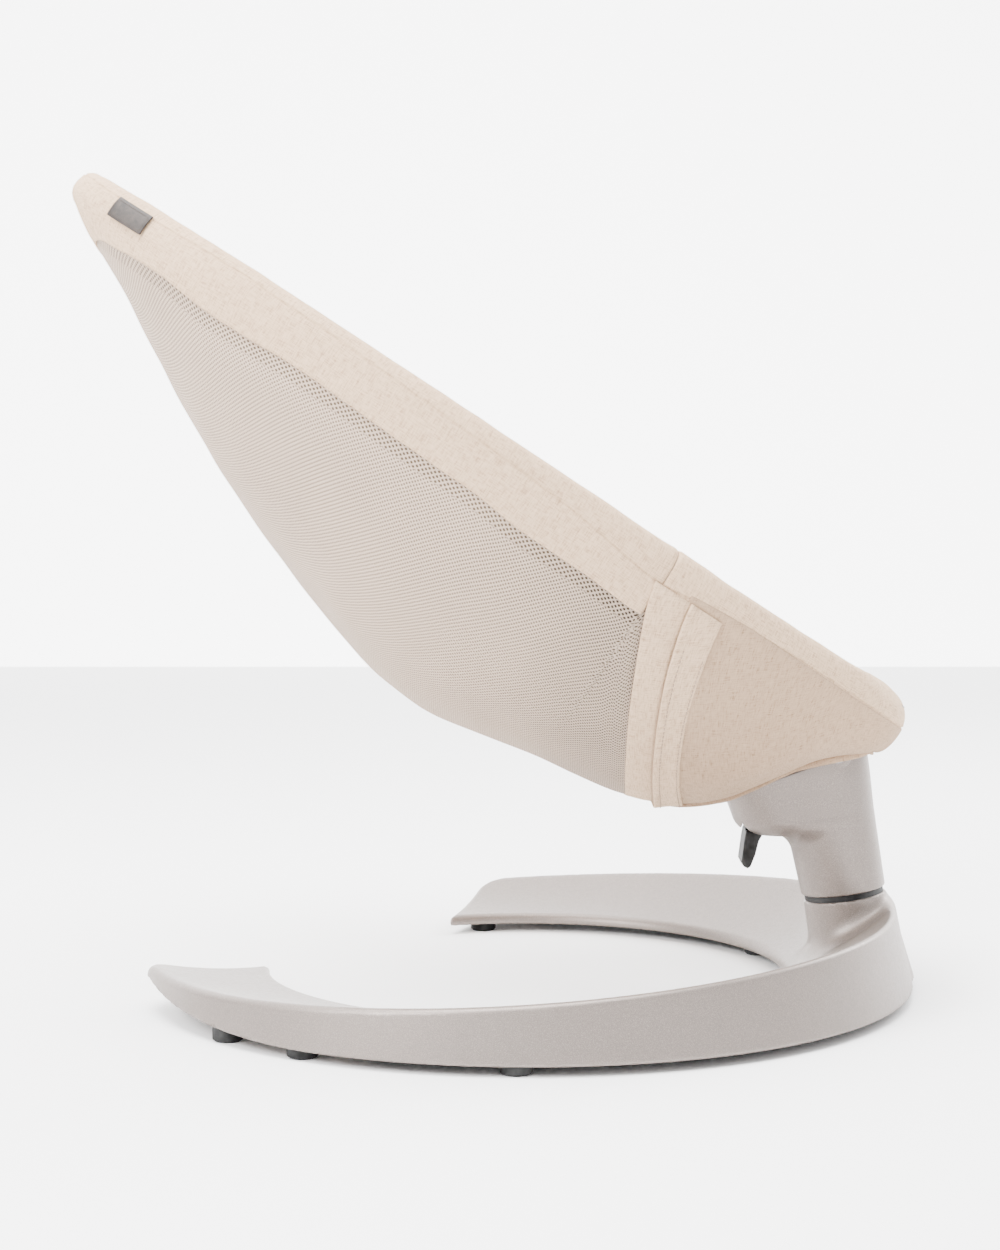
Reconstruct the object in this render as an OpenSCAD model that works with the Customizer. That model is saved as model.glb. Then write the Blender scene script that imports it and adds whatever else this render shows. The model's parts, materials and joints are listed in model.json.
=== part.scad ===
/* [Floor ring] */
// Outer radius of the C-shaped floor ring
ring_r = 330; // [300:5:350]
// Mean width of the ring section, outer wall to inner lip
ring_band = 108; // [100:1:116]
// Mean height of the outer wall
ring_h = 46; // [40:1:52]
// Gap under the ring, filled by the rubber feet
floor_gap = 7; // [5:0.5:9]
// Radius of each rubber foot
foot_r = 12; // [9:1:15]

/* [Post] */
// Distance of the post's seam from the ring's centre
post_x = 274; // [265:1:280]
// Height of the seam above the floor
post_z = 80; // [78:1:86]
// Lean of the sway axis towards the seat
sway_tilt = 8.3; // [6:0.1:10]
// Outer radius of the post at the seam
post_r = 36; // [34:0.5:38]
// Radius of the sway shaft, the bore of a 6205 ball bearing
shaft_r = 12.5; // [12.5:0.5:12.5]

/* [Seat frame] */
// Slope of the rim at rest
rim_slope = 33.3; // [31:0.1:35]
// Length of the rim, foot tube centre to head tube centre
rim_len = 813; // [800:1:820]
// Widest half width of the rim, to the tube's centre
rim_half_w = 200; // [190:1:210]
// Distance from the foot to the widest place
widest_s = 400; // [390:5:420]
// Outer radius of the rim tube
tube_r = 10; // [9:0.5:11]
// Wall of the rim tube
tube_wall = 1.5; // [1.2:0.1:2]

/* [Fabric] */
// Thickness of the sling and the foot cover
cloth_t = 3; // [2:0.5:4]
// Thickness of the padded liner
liner_t = 12; // [8:1:16]

/* [Hidden] */
$fn = 64;

// The model's origin is under the middle of its box, so everything is shifted along X by this
centre_x = 28;

// Clearances
run_gap = 0.05;
cloth_gap = 0.4;

metal = [0.65, 0.61, 0.59];
steel = [0.72, 0.72, 0.74];
dark = [0.17, 0.16, 0.16];
linen = [0.87, 0.81, 0.75];
mesh_tone = [0.80, 0.75, 0.69];
webbing = [0.45, 0.41, 0.38];

// Recline axis: the pin's centre, in ring coordinates
hinge_x = 262;
hinge_z = 205;
recline_travel = 14;
recline_step = 7;

// Foot end of the rim tube's centre line, in ring coordinates
rim_x = 311;
rim_z = 233;

// ---------- placing ----------

module in_ring() {
    translate([centre_x, 0, 0])
        children();
}

// Along the sway axis, from the middle of the seam
module in_post() {
    in_ring()
        translate([post_x, 0, post_z])
            rotate([0, -sway_tilt, 0])
                children();
}

// On the recline axis, with Z along the pin
module in_hinge() {
    in_ring()
        translate([hinge_x, 0, hinge_z])
            rotate([90, 0, 0])
                children();
}

// On the rim's plane: X from foot to head, Y to the near side, Z up and off the plane
module in_rim() {
    in_ring()
        translate([rim_x, 0, rim_z])
            rotate([0, rim_slope, 0])
                rotate([0, 0, 180])
                    children();
}

module tube(outer, inner, length) {
    difference() {
        cylinder(r = outer, h = length);
        translate([0, 0, -1])
            cylinder(r = inner, h = length + 2);
    }
}

// ---------- general functions ----------

function clamp01(x) = max(0, min(1, x));
function mix(a, b, t) = a + (b - a) * t;

// Smooth curve through [x, y] stations
function slope_at(p, i) = let (a = max(0, i - 1), b = min(len(p) - 1, i + 1))
    (p[b][1] - p[a][1]) / (p[b][0] - p[a][0]);
function span_of(x, p, i = 0) = (i >= len(p) - 2 || x < p[i + 1][0]) ? i : span_of(x, p, i + 1);
function smooth_at(x, p) = let (
        i = span_of(x, p),
        h = p[i + 1][0] - p[i][0],
        t = clamp01((x - p[i][0]) / h),
        m0 = slope_at(p, i) * h,
        m1 = slope_at(p, i + 1) * h
    )
    (2 * t^3 - 3 * t^2 + 1) * p[i][1] + (t^3 - 2 * t^2 + t) * m0
    + (3 * t^2 - 2 * t^3) * p[i + 1][1] + (t^3 - t^2) * m1;

// Faces that join a grid of rows x cols points, numbered from first
function skin(rows, cols, first, flip) = [
    for (i = [0 : rows - 2], j = [0 : cols - 2])
        let (a = first + i * cols + j, b = a + 1, c = a + cols, d = c + 1)
            each flip ? [[a, b, d], [a, d, c]] : [[a, d, b], [a, c, d]]
];

// ---------- floor ring ----------

near_end = -165;
far_end = 96;
ring_step = 4.5;
edge_round = 6;
lip_h = 9;

function wall_top(a) = ring_h + 19.3 * cos(a) + 2.5 * cos(2 * a) - 7.4 * sin(a);
function near_lift(a) = 20 * pow(clamp01((-a - 118) / 42), 2);
function inner_r(a) = ring_r - ring_band + 12 * sin(a);
// The ends are cut on a slant: the inner lip runs further than the outer wall
function end_skew(a) = 12 * pow(clamp01((a - 60) / 36), 2) - 14 * pow(clamp01((-a - 125) / 40), 2);
// The outer corners of both ends are rounded in plan
function corner(u, size) = size * (1 - sqrt(1 - pow(clamp01(u), 2)));
function outer_r(a) = ring_r - corner(1 - (a - near_end) / 7, 26) - corner(1 - (far_end - a) / 6, 22);

function ring_section(a) = let (
        ro = outer_r(a),
        ri = inner_r(a),
        top = wall_top(a),
        low = floor_gap + near_lift(a),
        rt = ro - 0.24 * (top - low),
        zi = floor_gap + lip_h
    ) [
        [(ro + ri) / 2, (low + floor_gap) / 2],
        [ro - 2.5, low],
        [ro, low + 2.5],
        for (f = [0 : 30 : 120])
            [rt - edge_round + edge_round * cos(f), top - edge_round * (1 - sin(f))],
        for (g = [0.25 : 0.25 : 0.75])
            [mix(rt - edge_round * 1.5, ri + 5, g), mix(top - 1, zi + 1.5, g) - 10 * g * (1 - g)],
        [ri + 5, zi + 1.5],
        [ri + 1.2, zi - 0.8],
        [ri, zi - 4],
        [ri, floor_gap + 1.5],
        [ri + 1.5, floor_gap]
    ];

function ring_point(a, p) = let (
        spread = (outer_r(a) - p[0]) / (outer_r(a) - inner_r(a)),
        b = a + end_skew(a) * spread
    )
    [p[0] * cos(b), p[0] * sin(b), p[1]];

ring_angles = [
    for (i = [0 : 8]) near_end + 7 * pow(i / 8, 2),
    for (a = [near_end + 7 + ring_step : ring_step : far_end - 8]) a,
    for (i = [8 : -1 : 0]) far_end - 6 * pow(i / 8, 2)
];

module ring_body() {
    sections = [for (a = ring_angles) [for (p = ring_section(a)) ring_point(a, p)]];
    n = len(sections[0]);
    m = len(sections);
    points = [for (s = sections) each s];
    sides = [
        for (i = [0 : m - 2], j = [0 : n - 1])
            let (a = i * n + j, b = i * n + (j + 1) % n, c = a + n, d = b + n)
                each [[a, b, d], [a, d, c]]
    ];
    start = [for (j = [1 : n - 2]) [0, j + 1, j]];
    last = (m - 1) * n;
    end = [for (j = [1 : n - 2]) [last, last + j, last + j + 1]];
    polyhedron(points, concat(sides, start, end));
}

// The casting is hollow from below, in two stretches beside the post
shell_wall = 5;
hollow_from = [-114, 17];
hollow_to = [-17, 86];
hollow_step = 9;
plate_t = 2;

function hollow_section(a, grow, low, high) = let (
        ro = outer_r(a),
        ri = inner_r(a),
        top = wall_top(a),
        rt = ro - 0.24 * (top - floor_gap),
        zi = floor_gap + lip_h - shell_wall + 0.5
    )
    high > top ? [
        [ri + 8 - grow, low],
        [ro - 8 + grow, low],
        [ro - 8 + grow, floor_gap + plate_t + 0.5],
        [rt - shell_wall - 5, top - shell_wall - 3],
        [ri + 10.5, zi],
        [ri + 8 - grow, floor_gap + plate_t + 0.5]
    ] : [[ri + 8 - grow, low], [ro - 8 + grow, low], [ro - 8 + grow, high], [ri + 8 - grow, high]];

// A closed bar swept round the ring between two angles
module ring_bar(from, to, grow, low, high) {
    count = ceil((to - from) / hollow_step);
    sections = [
        for (i = [0 : count])
            let (a = mix(from, to, i / count))
                [for (p = hollow_section(a, grow, low, high)) [p[0] * cos(a), p[0] * sin(a), p[1]]]
    ];
    n = len(sections[0]);
    sides = [
        for (i = [0 : count - 1], j = [0 : n - 1])
            let (a = i * n + j, b = i * n + (j + 1) % n, c = a + n, d = b + n)
                each [[a, b, d], [a, d, c]]
    ];
    start = [for (j = [1 : n - 2]) [0, j + 1, j]];
    last = count * n;
    end = [for (j = [1 : n - 2]) [last, last + j, last + j + 1]];
    polyhedron([for (q = sections) each q], concat(sides, start, end));
}

module base_underplate() {
    color(dark)
        in_ring()
            for (i = [0, 1])
                ring_bar(hollow_from[i] + 0.3, hollow_to[i] - 0.3, -0.4, floor_gap, floor_gap + plate_t);
}

post_top = -2.5;
socket_depth = 56;

module base_ring() {
    color(metal)
        difference() {
            union() {
                in_ring()
                    ring_body();
                intersection() {
                    in_post() {
                        translate([0, 0, -90])
                            cylinder(r = post_r - 1, h = 90 + post_top);
                        translate([0, 0, -80])
                            cylinder(r1 = 45, r2 = post_r - 1, h = 40);
                    }
                    in_ring()
                        translate([post_x - 75, -75, floor_gap + 1])
                            cube([127, 150, 120]);
                }
            }
            in_post() {
                translate([0, 0, -socket_depth])
                    cylinder(r = shaft_r, h = socket_depth + 10);
                translate([0, 0, -socket_depth - 30])
                    cylinder(r = 5.5, h = 60);
            }
            in_ring()
                for (i = [0, 1])
                    ring_bar(hollow_from[i], hollow_to[i], 0, floor_gap - 30, 200);
            // Seats of the feet under the rising end
            in_ring()
                for (f = foot_places)
                    if (f[2] > 0)
                        rotate([0, 0, f[0]])
                            translate([f[1], 0, -1])
                                cylinder(r = foot_r + 0.1, h = floor_gap + f[2] + 1);
        }
}

// Each foot's angle, distance and depth in the casting: along the outer wall, then along the inner lip
foot_places = [
    [-138, ring_r - 15, 4.6], [-123, ring_r - 15, 1.2], [-92, ring_r - 15, 0], [60, ring_r - 24, 0],
    [88, ring_r - 24, 0], [99, 250, 0], [31, 250, 0], [-40, 236, 0], [0, 238, 0]
];

module foot_pads() {
    color(dark)
        in_ring()
            for (f = foot_places)
                rotate([0, 0, f[0]])
                    translate([f[1], 0, 0])
                        rotate_extrude()
                            polygon([
                                [0, 0], [foot_r - 2, 0], [foot_r, 1.5],
                                [foot_r, floor_gap + f[2]],
                                [0, floor_gap + f[2]]
                            ]);
}

// ---------- sway bearing ----------

race_w = 15;
race_out_r = 26;
ball_r = 4;
ball_ring_r = 19.25;
lower_race = 6;
upper_race = 38;
balls = 9;

module race_places() {
    for (t = [lower_race, upper_race])
        translate([0, 0, t])
            children();
}

module pivot_shaft() {
    color(steel)
        in_post()
            difference() {
                translate([0, 0, -socket_depth])
                    cylinder(r = shaft_r, h = socket_depth + 66);
                translate([0, 0, -socket_depth - 1])
                    cylinder(r = 5, h = 26);
            }
}

module shaft_bolt() {
    color(steel)
        in_post() {
            translate([0, 0, -socket_depth - 6])
                cylinder(r = 5, h = 30);
            translate([0, 0, -socket_depth - 11])
                cylinder(r = 5.4, h = 5);
        }
}

module bearing_inner_races() {
    color(steel)
        in_post()
            race_places()
                rotate_extrude()
                    difference() {
                        translate([shaft_r, 0])
                            square([5.2, race_w]);
                        translate([ball_ring_r, race_w / 2])
                            circle(r = ball_r);
                    }
}

module bearing_balls() {
    color(steel)
        in_post()
            race_places()
                for (i = [0 : balls - 1])
                    rotate([0, 0, i * 360 / balls])
                        translate([ball_ring_r, 0, race_w / 2])
                            sphere(r = ball_r);
}

module bearing_outer_races() {
    color(steel)
        in_post()
            race_places()
                rotate_extrude()
                    difference() {
                        translate([race_out_r - 5.2, 0])
                            square([5.2, race_w]);
                        translate([ball_ring_r, race_w / 2])
                            circle(r = ball_r + run_gap);
                    }
}

module bearing_spacer() {
    color(steel)
        in_post()
            translate([0, 0, lower_race + race_w])
                tube(shaft_r + 3, shaft_r, upper_race - lower_race - race_w);
}

module seam_seal() {
    color(dark)
        in_post()
            translate([0, 0, post_top])
                tube(post_r - 2.2, shaft_r, 4.6);
}

module shaft_washer() {
    color(steel)
        in_post()
            translate([0, 0, upper_race + race_w])
                tube(17, shaft_r, 2);
}

module shaft_nut() {
    color(steel)
        in_post()
            translate([0, 0, upper_race + race_w + 2])
                difference() {
                    cylinder(r = 18, h = 10, $fn = 6);
                    translate([0, 0, -1])
                        cylinder(r = shaft_r, h = 12);
                }
}

module bearing_circlip() {
    color(steel)
        in_post()
            translate([0, 0, lower_race - 1.8])
                rotate_extrude(angle = 320)
                    translate([race_out_r - 3, 0])
                        square([4.4, 1.6]);
}

// ---------- column and arm ----------

// The arm's top face: a sloping plane that rises towards the foot end
arm_left = 165;
arm_left_z = 166;
arm_slope = 20;
arm_r = 39.5;
pocket_r = 33.5;
pocket_floor = 138;
cheek_in = 32.4;
cheek_out = 39;
cheek_r = 13.6;
pin_r = 6;
// Room round the hub's barrel inside the arm
barrel_r = 12.5;
hub_space = 31.3;

function arm_top(x) = arm_left_z + (x - arm_left) * tan(arm_slope);

// A thin disc lying in the arm's top plane
module top_disc(x, r, lift = 0) {
    translate([x, 0, arm_top(x) + lift])
        rotate([0, -arm_slope, 0])
            translate([0, 0, -0.5])
                cylinder(r = r, h = 0.5);
}

module arm_shell(grow = 0) {
    in_ring()
        hull() {
            top_disc(204, arm_r + grow, grow);
            top_disc(254, arm_r + grow, grow);
            translate([217, 0, 141 - grow])
                cylinder(r = 38 + grow, h = 1, $fn = 48);
            translate([216, 0, 132 - grow])
                cylinder(r = 25 + grow, h = 1, $fn = 48);
            translate([post_x, 0, post_z])
                rotate([0, -sway_tilt, 0])
                    translate([-2.5, 0, 53 - grow])
                        cylinder(r = 38.5 + grow, h = 1, $fn = 48);
        }
}

module column_barrel() {
    in_post()
        hull() {
            translate([0, 0, 2.5])
                cylinder(r = post_r, h = 1);
            translate([-2.7, 0, 58])
                cylinder(r = 38.2, h = 1);
        }
}

module arm_pocket() {
    in_ring()
        hull() {
            top_disc(205, pocket_r, 1);
            top_disc(253, pocket_r, 1);
            translate([217, 0, pocket_floor])
                cylinder(r = 32.5, h = 1, $fn = 48);
            translate([252, 0, 146])
                cylinder(r = 32.5, h = 1, $fn = 48);
        }
}

lever_x = 203;
lever_z = 143;
lever_half_w = 17;

module column_housing() {
    color(metal)
        difference() {
            union() {
                column_barrel();
                arm_shell();
                for (side = [-1, 1])
                    in_hinge()
                        translate([0, 0, side * (cheek_in + cheek_out) / 2 - (cheek_out - cheek_in) / 2])
                            cylinder(r = cheek_r, h = cheek_out - cheek_in);
            }
            arm_pocket();
            in_post() {
                cylinder(r = race_out_r, h = lower_race + race_w);
                cylinder(r = 22.5, h = 62);
                translate([0, 0, upper_race])
                    cylinder(r = race_out_r, h = 40);
                translate([0, 0, lower_race - 2])
                    cylinder(r = race_out_r + 1.6, h = 2);
            }
            in_ring()
                translate([184.5, -lever_half_w - 1.5, 120])
                    cube([27, 2 * lever_half_w + 3, 25]);
            in_hinge()
                translate([0, 0, -50])
                    cylinder(r = pin_r, h = 100);
            in_ring()
                translate([hinge_x - barrel_r, -hub_space, hinge_z - barrel_r - 0.6])
                    cube([2 * barrel_r + 0.6, 2 * hub_space, 40]);
            // Window and channel of the sway lock, on the far side
            in_post() {
                translate([-8.2, 30.6, 16])
                    cube([16.4, 16, 18.6]);
                translate([-6.3, 27.9, 0])
                    cube([12.6, 6, 34.6]);
            }
        }
}

module recline_pin() {
    color(steel)
        in_hinge() {
            translate([0, 0, -cheek_out - 2.2])
                cylinder(r = pin_r, h = 2 * cheek_out + 4.4);
            translate([0, 0, -cheek_out - 4.2])
                cylinder(r = pin_r + 3, h = 2.2);
        }
}

module recline_pin_clip() {
    color(steel)
        in_hinge()
            translate([0, 0, cheek_out + 0.4])
                tube(pin_r + 3, pin_r, 1.2);
}

// ---------- recline lever ----------

module lever_frame() {
    in_ring()
        translate([lever_x, 0, lever_z])
            rotate([90, 0, 0])
                children();
}

module lever_bracket() {
    color(steel)
        difference() {
            in_ring()
                for (side = [-1, 1]) {
                    translate([lever_x - 5, side * 21.2 - 1.25, pocket_floor])
                        cube([16, 2.5, 11]);
                    translate([lever_x - 5, side * 22.8 - 2.85, pocket_floor])
                        cube([16, 5.7, 2]);
                }
            lever_frame()
                translate([0, 0, -40])
                    cylinder(r = 2.5, h = 80);
        }
}

module lever_pin() {
    color(steel)
        lever_frame()
            translate([0, 0, -24])
                cylinder(r = 2.5, h = 48);
}

module lever_spring() {
    color(steel)
        lever_frame()
            for (side = [-1, 1], i = [0 : 3])
                translate([0, 0, side * (13 + i * 1.7)])
                    rotate_extrude()
                        translate([4.6, 0])
                            circle(r = 0.7, $fn = 16);
}

tooth_r = 71.6;
tooth_angle = 221.6;

module recline_lever() {
    color(dark)
        difference() {
            union() {
                lever_frame()
                    translate([0, 0, -11])
                        cylinder(r = 6, h = 22);
                // Trigger blade, slightly hooked towards the seat
                lever_frame()
                    translate([0, 0, -lever_half_w])
                        linear_extrude(2 * lever_half_w)
                            polygon([
                                [-15, -8], [-16.5, -16], [-17.8, -26], [-19, -35], [-17, -39],
                                [-13.5, -40.8], [-11, -39], [-7, -29], [-4, -17], [1, -8]
                            ]);
                lever_frame()
                    translate([0, 0, -11])
                        linear_extrude(22)
                            polygon([[-15, -8.2], [1, -8.2], [5, -3], [-5, 3]]);
                // Pawl arm with its tooth
                lever_frame()
                    translate([0, 0, -8])
                        linear_extrude(16)
                            polygon([[-5, 2], [5, 3], [6.5, 11], [5.2, 13], [-1, 15.5], [-3, 12]]);
            }
            lever_frame()
                translate([0, 0, -30])
                    cylinder(r = 2.5 + run_gap, h = 60);
        }
}

// ---------- sway lock ----------

module sway_lock_slider() {
    color(dark)
        in_post() {
            translate([-7.6, 31, 22])
                cube([15.2, 7, 12]);
            translate([-5, 36, 24])
                cube([10, 7.5, 8]);
            translate([-4, 28.4, 12])
                cube([8, 3.6, 20]);
        }
}

module sway_brake_shoe() {
    color(dark)
        in_post()
            translate([-6, 28.2, 8])
                cube([12, 5.4, 4]);
}

// ---------- rim geometry ----------

side_c = 450;
side_r = side_c + rim_half_w;
head_s = rim_len - widest_s;
head_r = (side_r^2 - side_c^2 - head_s^2) / (2 * (side_r - head_s));
foot_arc_r = (side_r^2 - side_c^2 - widest_s^2) / (2 * (side_r - widest_s));
head_turn = atan2(side_c, head_s - head_r);
foot_turn = atan2(side_c, foot_arc_r - widest_s);
joint_s = 245;
joint_turn = acos((joint_s - widest_s) / side_r);
saddle_turn = 22;

// Half width of the rim at s, measured off the tube's centre line by off
function half_width(s, off = 0) =
    s < foot_arc_r + foot_arc_r * cos(foot_turn)
        ? sqrt(max(0, (foot_arc_r + off)^2 - (s - foot_arc_r)^2))
    : s > rim_len - head_r + head_r * cos(head_turn)
        ? sqrt(max(0, (head_r + off)^2 - (s - rim_len + head_r)^2))
    : sqrt(max(0, (side_r + off)^2 - (s - widest_s)^2)) - side_c;

// A section swept along part of the rim: children() are drawn at the tube's centre
module foot_arc(from, to, out = 0) {
    translate([foot_arc_r, 0, 0])
        rotate([0, 0, from])
            rotate_extrude(angle = to - from)
                translate([foot_arc_r + out, 0])
                    children();
}

module side_arc(side, from, to) {
    translate([widest_s, -side * side_c, 0])
        rotate([0, 0, side > 0 ? from : -to])
            rotate_extrude(angle = to - from)
                translate([side_r, 0])
                    children();
}

module head_arc() {
    translate([rim_len - head_r, 0, 0])
        rotate([0, 0, -head_turn])
            rotate_extrude(angle = 2 * head_turn)
                translate([head_r, 0])
                    children();
}

module pipe(outer, inner) {
    difference() {
        circle(r = outer);
        circle(r = inner);
    }
}

// The snap button's place on each side of the rim
module at_joint(side, turn = 0) {
    in_rim()
        translate([widest_s, -side * side_c, 0])
            rotate([0, 0, side * (joint_turn + turn)])
                translate([side_r, 0, 0])
                    children();
}

plug_turn = 2.6;
// Hair line between two bends of one hoop
weld_turn = 0.002;
button_turn = 1.2;
button_r = 3.4;

module lower_hoop() {
    color(steel)
        difference() {
            in_rim() {
                foot_arc(foot_turn, 360 - foot_turn)
                    pipe(tube_r, tube_r - tube_wall);
                for (side = [-1, 1])
                    side_arc(side, joint_turn, foot_turn - weld_turn)
                        pipe(tube_r, tube_r - tube_wall);
            }
            for (side = [-1, 1])
                at_joint(side, button_turn)
                    translate([0, 0, -20])
                        cylinder(r = button_r + 0.3, h = 20);
        }
}

module upper_hoop() {
    color(steel)
        in_rim() {
            head_arc()
                pipe(tube_r, tube_r - tube_wall);
            for (side = [-1, 1])
                side_arc(side, head_turn + weld_turn, joint_turn)
                    pipe(tube_r, tube_r - tube_wall);
        }
}

// Swaged inserts that join the two hoops and hold the snap buttons
module joint_plugs() {
    color(steel)
        difference() {
            in_rim()
                for (side = [-1, 1])
                    side_arc(side, joint_turn - plug_turn, joint_turn + plug_turn)
                        pipe(tube_r - tube_wall - run_gap, 6.8);
            for (side = [-1, 1])
                at_joint(side, button_turn)
                    translate([0, 0, -20])
                        cylinder(r = button_r + run_gap, h = 20);
        }
}

module snap_button(side) {
    at_joint(side, button_turn) {
        translate([0, 0, -12])
            cylinder(r = button_r, h = 7.4);
        translate([0, 0, -4.8])
            cylinder(r = 4.4, h = 1.4);
    }
}

module snap_button_left() {
    color(steel)
        snap_button(1);
}

module snap_button_right() {
    color(steel)
        snap_button(-1);
}

module snap_springs() {
    color(steel)
        for (side = [-1, 1])
            at_joint(side, button_turn)
                for (i = [0 : 3])
                    translate([0, 0, -2.8 + i * 2.2])
                        rotate_extrude()
                            translate([3, 0])
                                circle(r = 0.5, $fn = 16);
}

// ---------- seat hub ----------

hub_r = 31.8;
hub_half = 29;
bush_r = 8;

module hub_lens() {
    in_ring()
        hull() {
            top_disc(206, hub_r, -1);
            top_disc(252.5, hub_r, -1);
            top_disc(208, hub_r - 4, 10);
            top_disc(253, hub_r - 3, 12);
        }
}

module hub_sector() {
    in_hinge()
        difference() {
            intersection() {
                translate([0, 0, -9])
                    cylinder(r = tooth_r - 0.6, h = 18);
                translate([0, 0, -9])
                    linear_extrude(18)
                        polygon([
                            [0, 0], [100 * cos(200), 100 * sin(200)], [100 * cos(214), 100 * sin(214)],
                            [100 * cos(228), 100 * sin(228)]
                        ]);
            }
            for (i = [0 : 2])
                rotate([0, 0, tooth_angle - i * recline_step])
                    translate([tooth_r, 0, -10])
                        cylinder(r = 3, h = 20);
        }
}

// Bridge from the hinge barrel to the rim tube
module hub_bridge() {
    hull() {
        in_hinge()
            translate([0, 0, -18])
                cylinder(r = 12, h = 36, $fn = 32);
        in_rim()
            translate([14, -26, -22])
                cube([24, 52, 8]);
    }
}

module saddle_block(low, high) {
    in_rim()
        difference() {
            foot_arc(180 - saddle_turn, 180 + saddle_turn)
                translate([-28, low])
                    square([34, high - low]);
            foot_arc(178 - saddle_turn, 182 + saddle_turn)
                circle(r = tube_r);
        }
}

module clamp_screw_places(z) {
    in_rim()
        translate([foot_arc_r, 0, z])
            for (turn = [-14, 14])
                rotate([0, 0, 180 + turn])
                    translate([foot_arc_r - 19, 0, 0])
                        children();
}

module seat_hub() {
    color(metal)
        difference() {
            union() {
                hub_lens();
                in_hinge()
                    translate([0, 0, -hub_half])
                        cylinder(r = barrel_r, h = 2 * hub_half);
                hub_sector();
                hub_bridge();
                saddle_block(-17, -0.4);
            }
            in_hinge()
                rotate_extrude()
                    polygon([
                        [0, -60], [bush_r + 3, -60], [bush_r + 3, -hub_half], [bush_r, -hub_half],
                        [bush_r, hub_half], [bush_r + 3, hub_half], [bush_r + 3, 60], [0, 60]
                    ]);
            clamp_screw_places(-14)
                cylinder(r = 2.5, h = 30);
        }
}

module hub_bushings() {
    color(dark)
        for (side = [0, 180])
            in_hinge()
                rotate([side, 0, 0]) {
                    translate([0, 0, hub_half - 18])
                        tube(bush_r - 0.02, pin_r + run_gap, 18);
                    translate([0, 0, hub_half])
                        tube(bush_r + 2.5, pin_r + run_gap, 1.8);
                }
}

module tube_clamp() {
    color(metal)
        difference() {
            saddle_block(0.4, 13);
            clamp_screw_places(-1)
                cylinder(r = 2.7, h = 30);
        }
}

module clamp_screws() {
    color(steel)
        clamp_screw_places(-12) {
            cylinder(r = 2.5, h = 25);
            translate([0, 0, 25])
                cylinder(r = 4.5, h = 3);
        }
}

// ---------- fabric ----------

sleeve_r = 13;
sleeve_in = tube_r + cloth_gap;
// Slit between the sewn panels of a sleeve
seam_turn = 0.05;
fabric_top = -14.5;

module rim_sleeve_lower() {
    color(linen)
        in_rim() {
            for (side = [0, 1])
                mirror([0, side, 0])
                    foot_arc(foot_turn, 180 - saddle_turn - 3)
                        pipe(sleeve_r, sleeve_in);
            for (side = [-1, 1])
                side_arc(side, joint_turn + 1.9, foot_turn - seam_turn)
                    pipe(sleeve_r, sleeve_in);
        }
}

module rim_sleeve_upper() {
    color(linen)
        in_rim() {
            head_arc()
                pipe(sleeve_r, sleeve_in);
            for (side = [-1, 1])
                side_arc(side, head_turn + seam_turn, joint_turn + 0.4)
                    pipe(sleeve_r, sleeve_in);
        }
}

// Depth of the sling's keel below the rim's plane, at stations along the rim
keel = [
    [0, 32], [40, 72], [85, 142], [136, 181], [200, 196], [270, 208], [344, 216],
    [423, 201], [500, 174], [600, 128], [700, 76], [780, 36], [813, 24]
];
// The linen foot part ends and the mesh begins on a slanting line, lower towards the foot
function split_s(f) = 236 - 84 * pow(sin(f), 1.4);
sling_end = 796;
bow = 0.88;

// A point of the sling: f runs 0 to 180 from the near edge round the keel to the far edge
function sling_point(s, f, off) = let (
        w = half_width(s, off),
        d = max(2, smooth_at(s, keel) + off + fabric_top)
    ) [
        s,
        w * sign(cos(f)) * pow(abs(cos(f)), bow),
        fabric_top - d * pow(abs(sin(f)), bow)
    ];

// A shell between two offsets. stations are shares of the way from start(f) to finish(f)
module fabric_shell(start, finish, stations, steps, out, in) {
    cols = steps + 1;
    rows = len(stations);
    outer = [
        for (u = stations, j = [0 : steps])
            let (f = 180 * j / steps)
                sling_point(mix(start(f), finish(f), u), f, out)
    ];
    inner = [
        for (u = stations, j = [0 : steps])
            let (f = 180 * j / steps)
                sling_point(mix(start(f), finish(f), u), f, in)
    ];
    k = rows * cols;
    edge_a = [for (j = [0 : steps - 1]) each [[j, j + 1, k + j + 1], [j, k + j + 1, k + j]]];
    z = (rows - 1) * cols;
    edge_b = [
        for (j = [0 : steps - 1])
            each [[z + j, k + z + j + 1, z + j + 1], [z + j, k + z + j, k + z + j + 1]]
    ];
    edge_c = [
        for (i = [0 : rows - 2])
            let (a = i * cols, b = a + cols)
                each [[a, k + a, k + b], [a, k + b, b]]
    ];
    edge_d = [
        for (i = [0 : rows - 2])
            let (a = i * cols + steps, b = a + cols)
                each [[a, k + b, k + a], [a, b, k + b]]
    ];
    polyhedron(
        concat(outer, inner),
        concat(skin(rows, cols, 0, false), skin(rows, cols, k, true), edge_a, edge_b, edge_c, edge_d)
    );
}

function steps_to(n, power = 1) = [for (i = [0 : n]) 1 - pow(1 - i / n, power)];

module mesh_sling() {
    color(mesh_tone)
        in_rim()
            fabric_shell(
                function(f) split_s(f) + 0.5,
                function(f) sling_end,
                steps_to(26, 1.25), 32, cloth_t / 2, -cloth_t / 2
            );
}

module foot_cover() {
    color(linen)
        difference() {
            in_rim()
                fabric_shell(
                    function(f) 10,
                    function(f) split_s(f) - 0.5,
                    steps_to(12), 32, cloth_t / 2, -cloth_t / 2
                );
            in_rim()
                translate([-5, -52, -80])
                    cube([52, 104, 90]);
            for (turn = [0, recline_travel / 2, recline_travel])
                in_ring()
                    translate([hinge_x, 0, hinge_z])
                        rotate([0, turn, 0])
                            translate([-hinge_x - centre_x, 0, -hinge_z])
                                arm_shell(4);
        }
}

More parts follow.
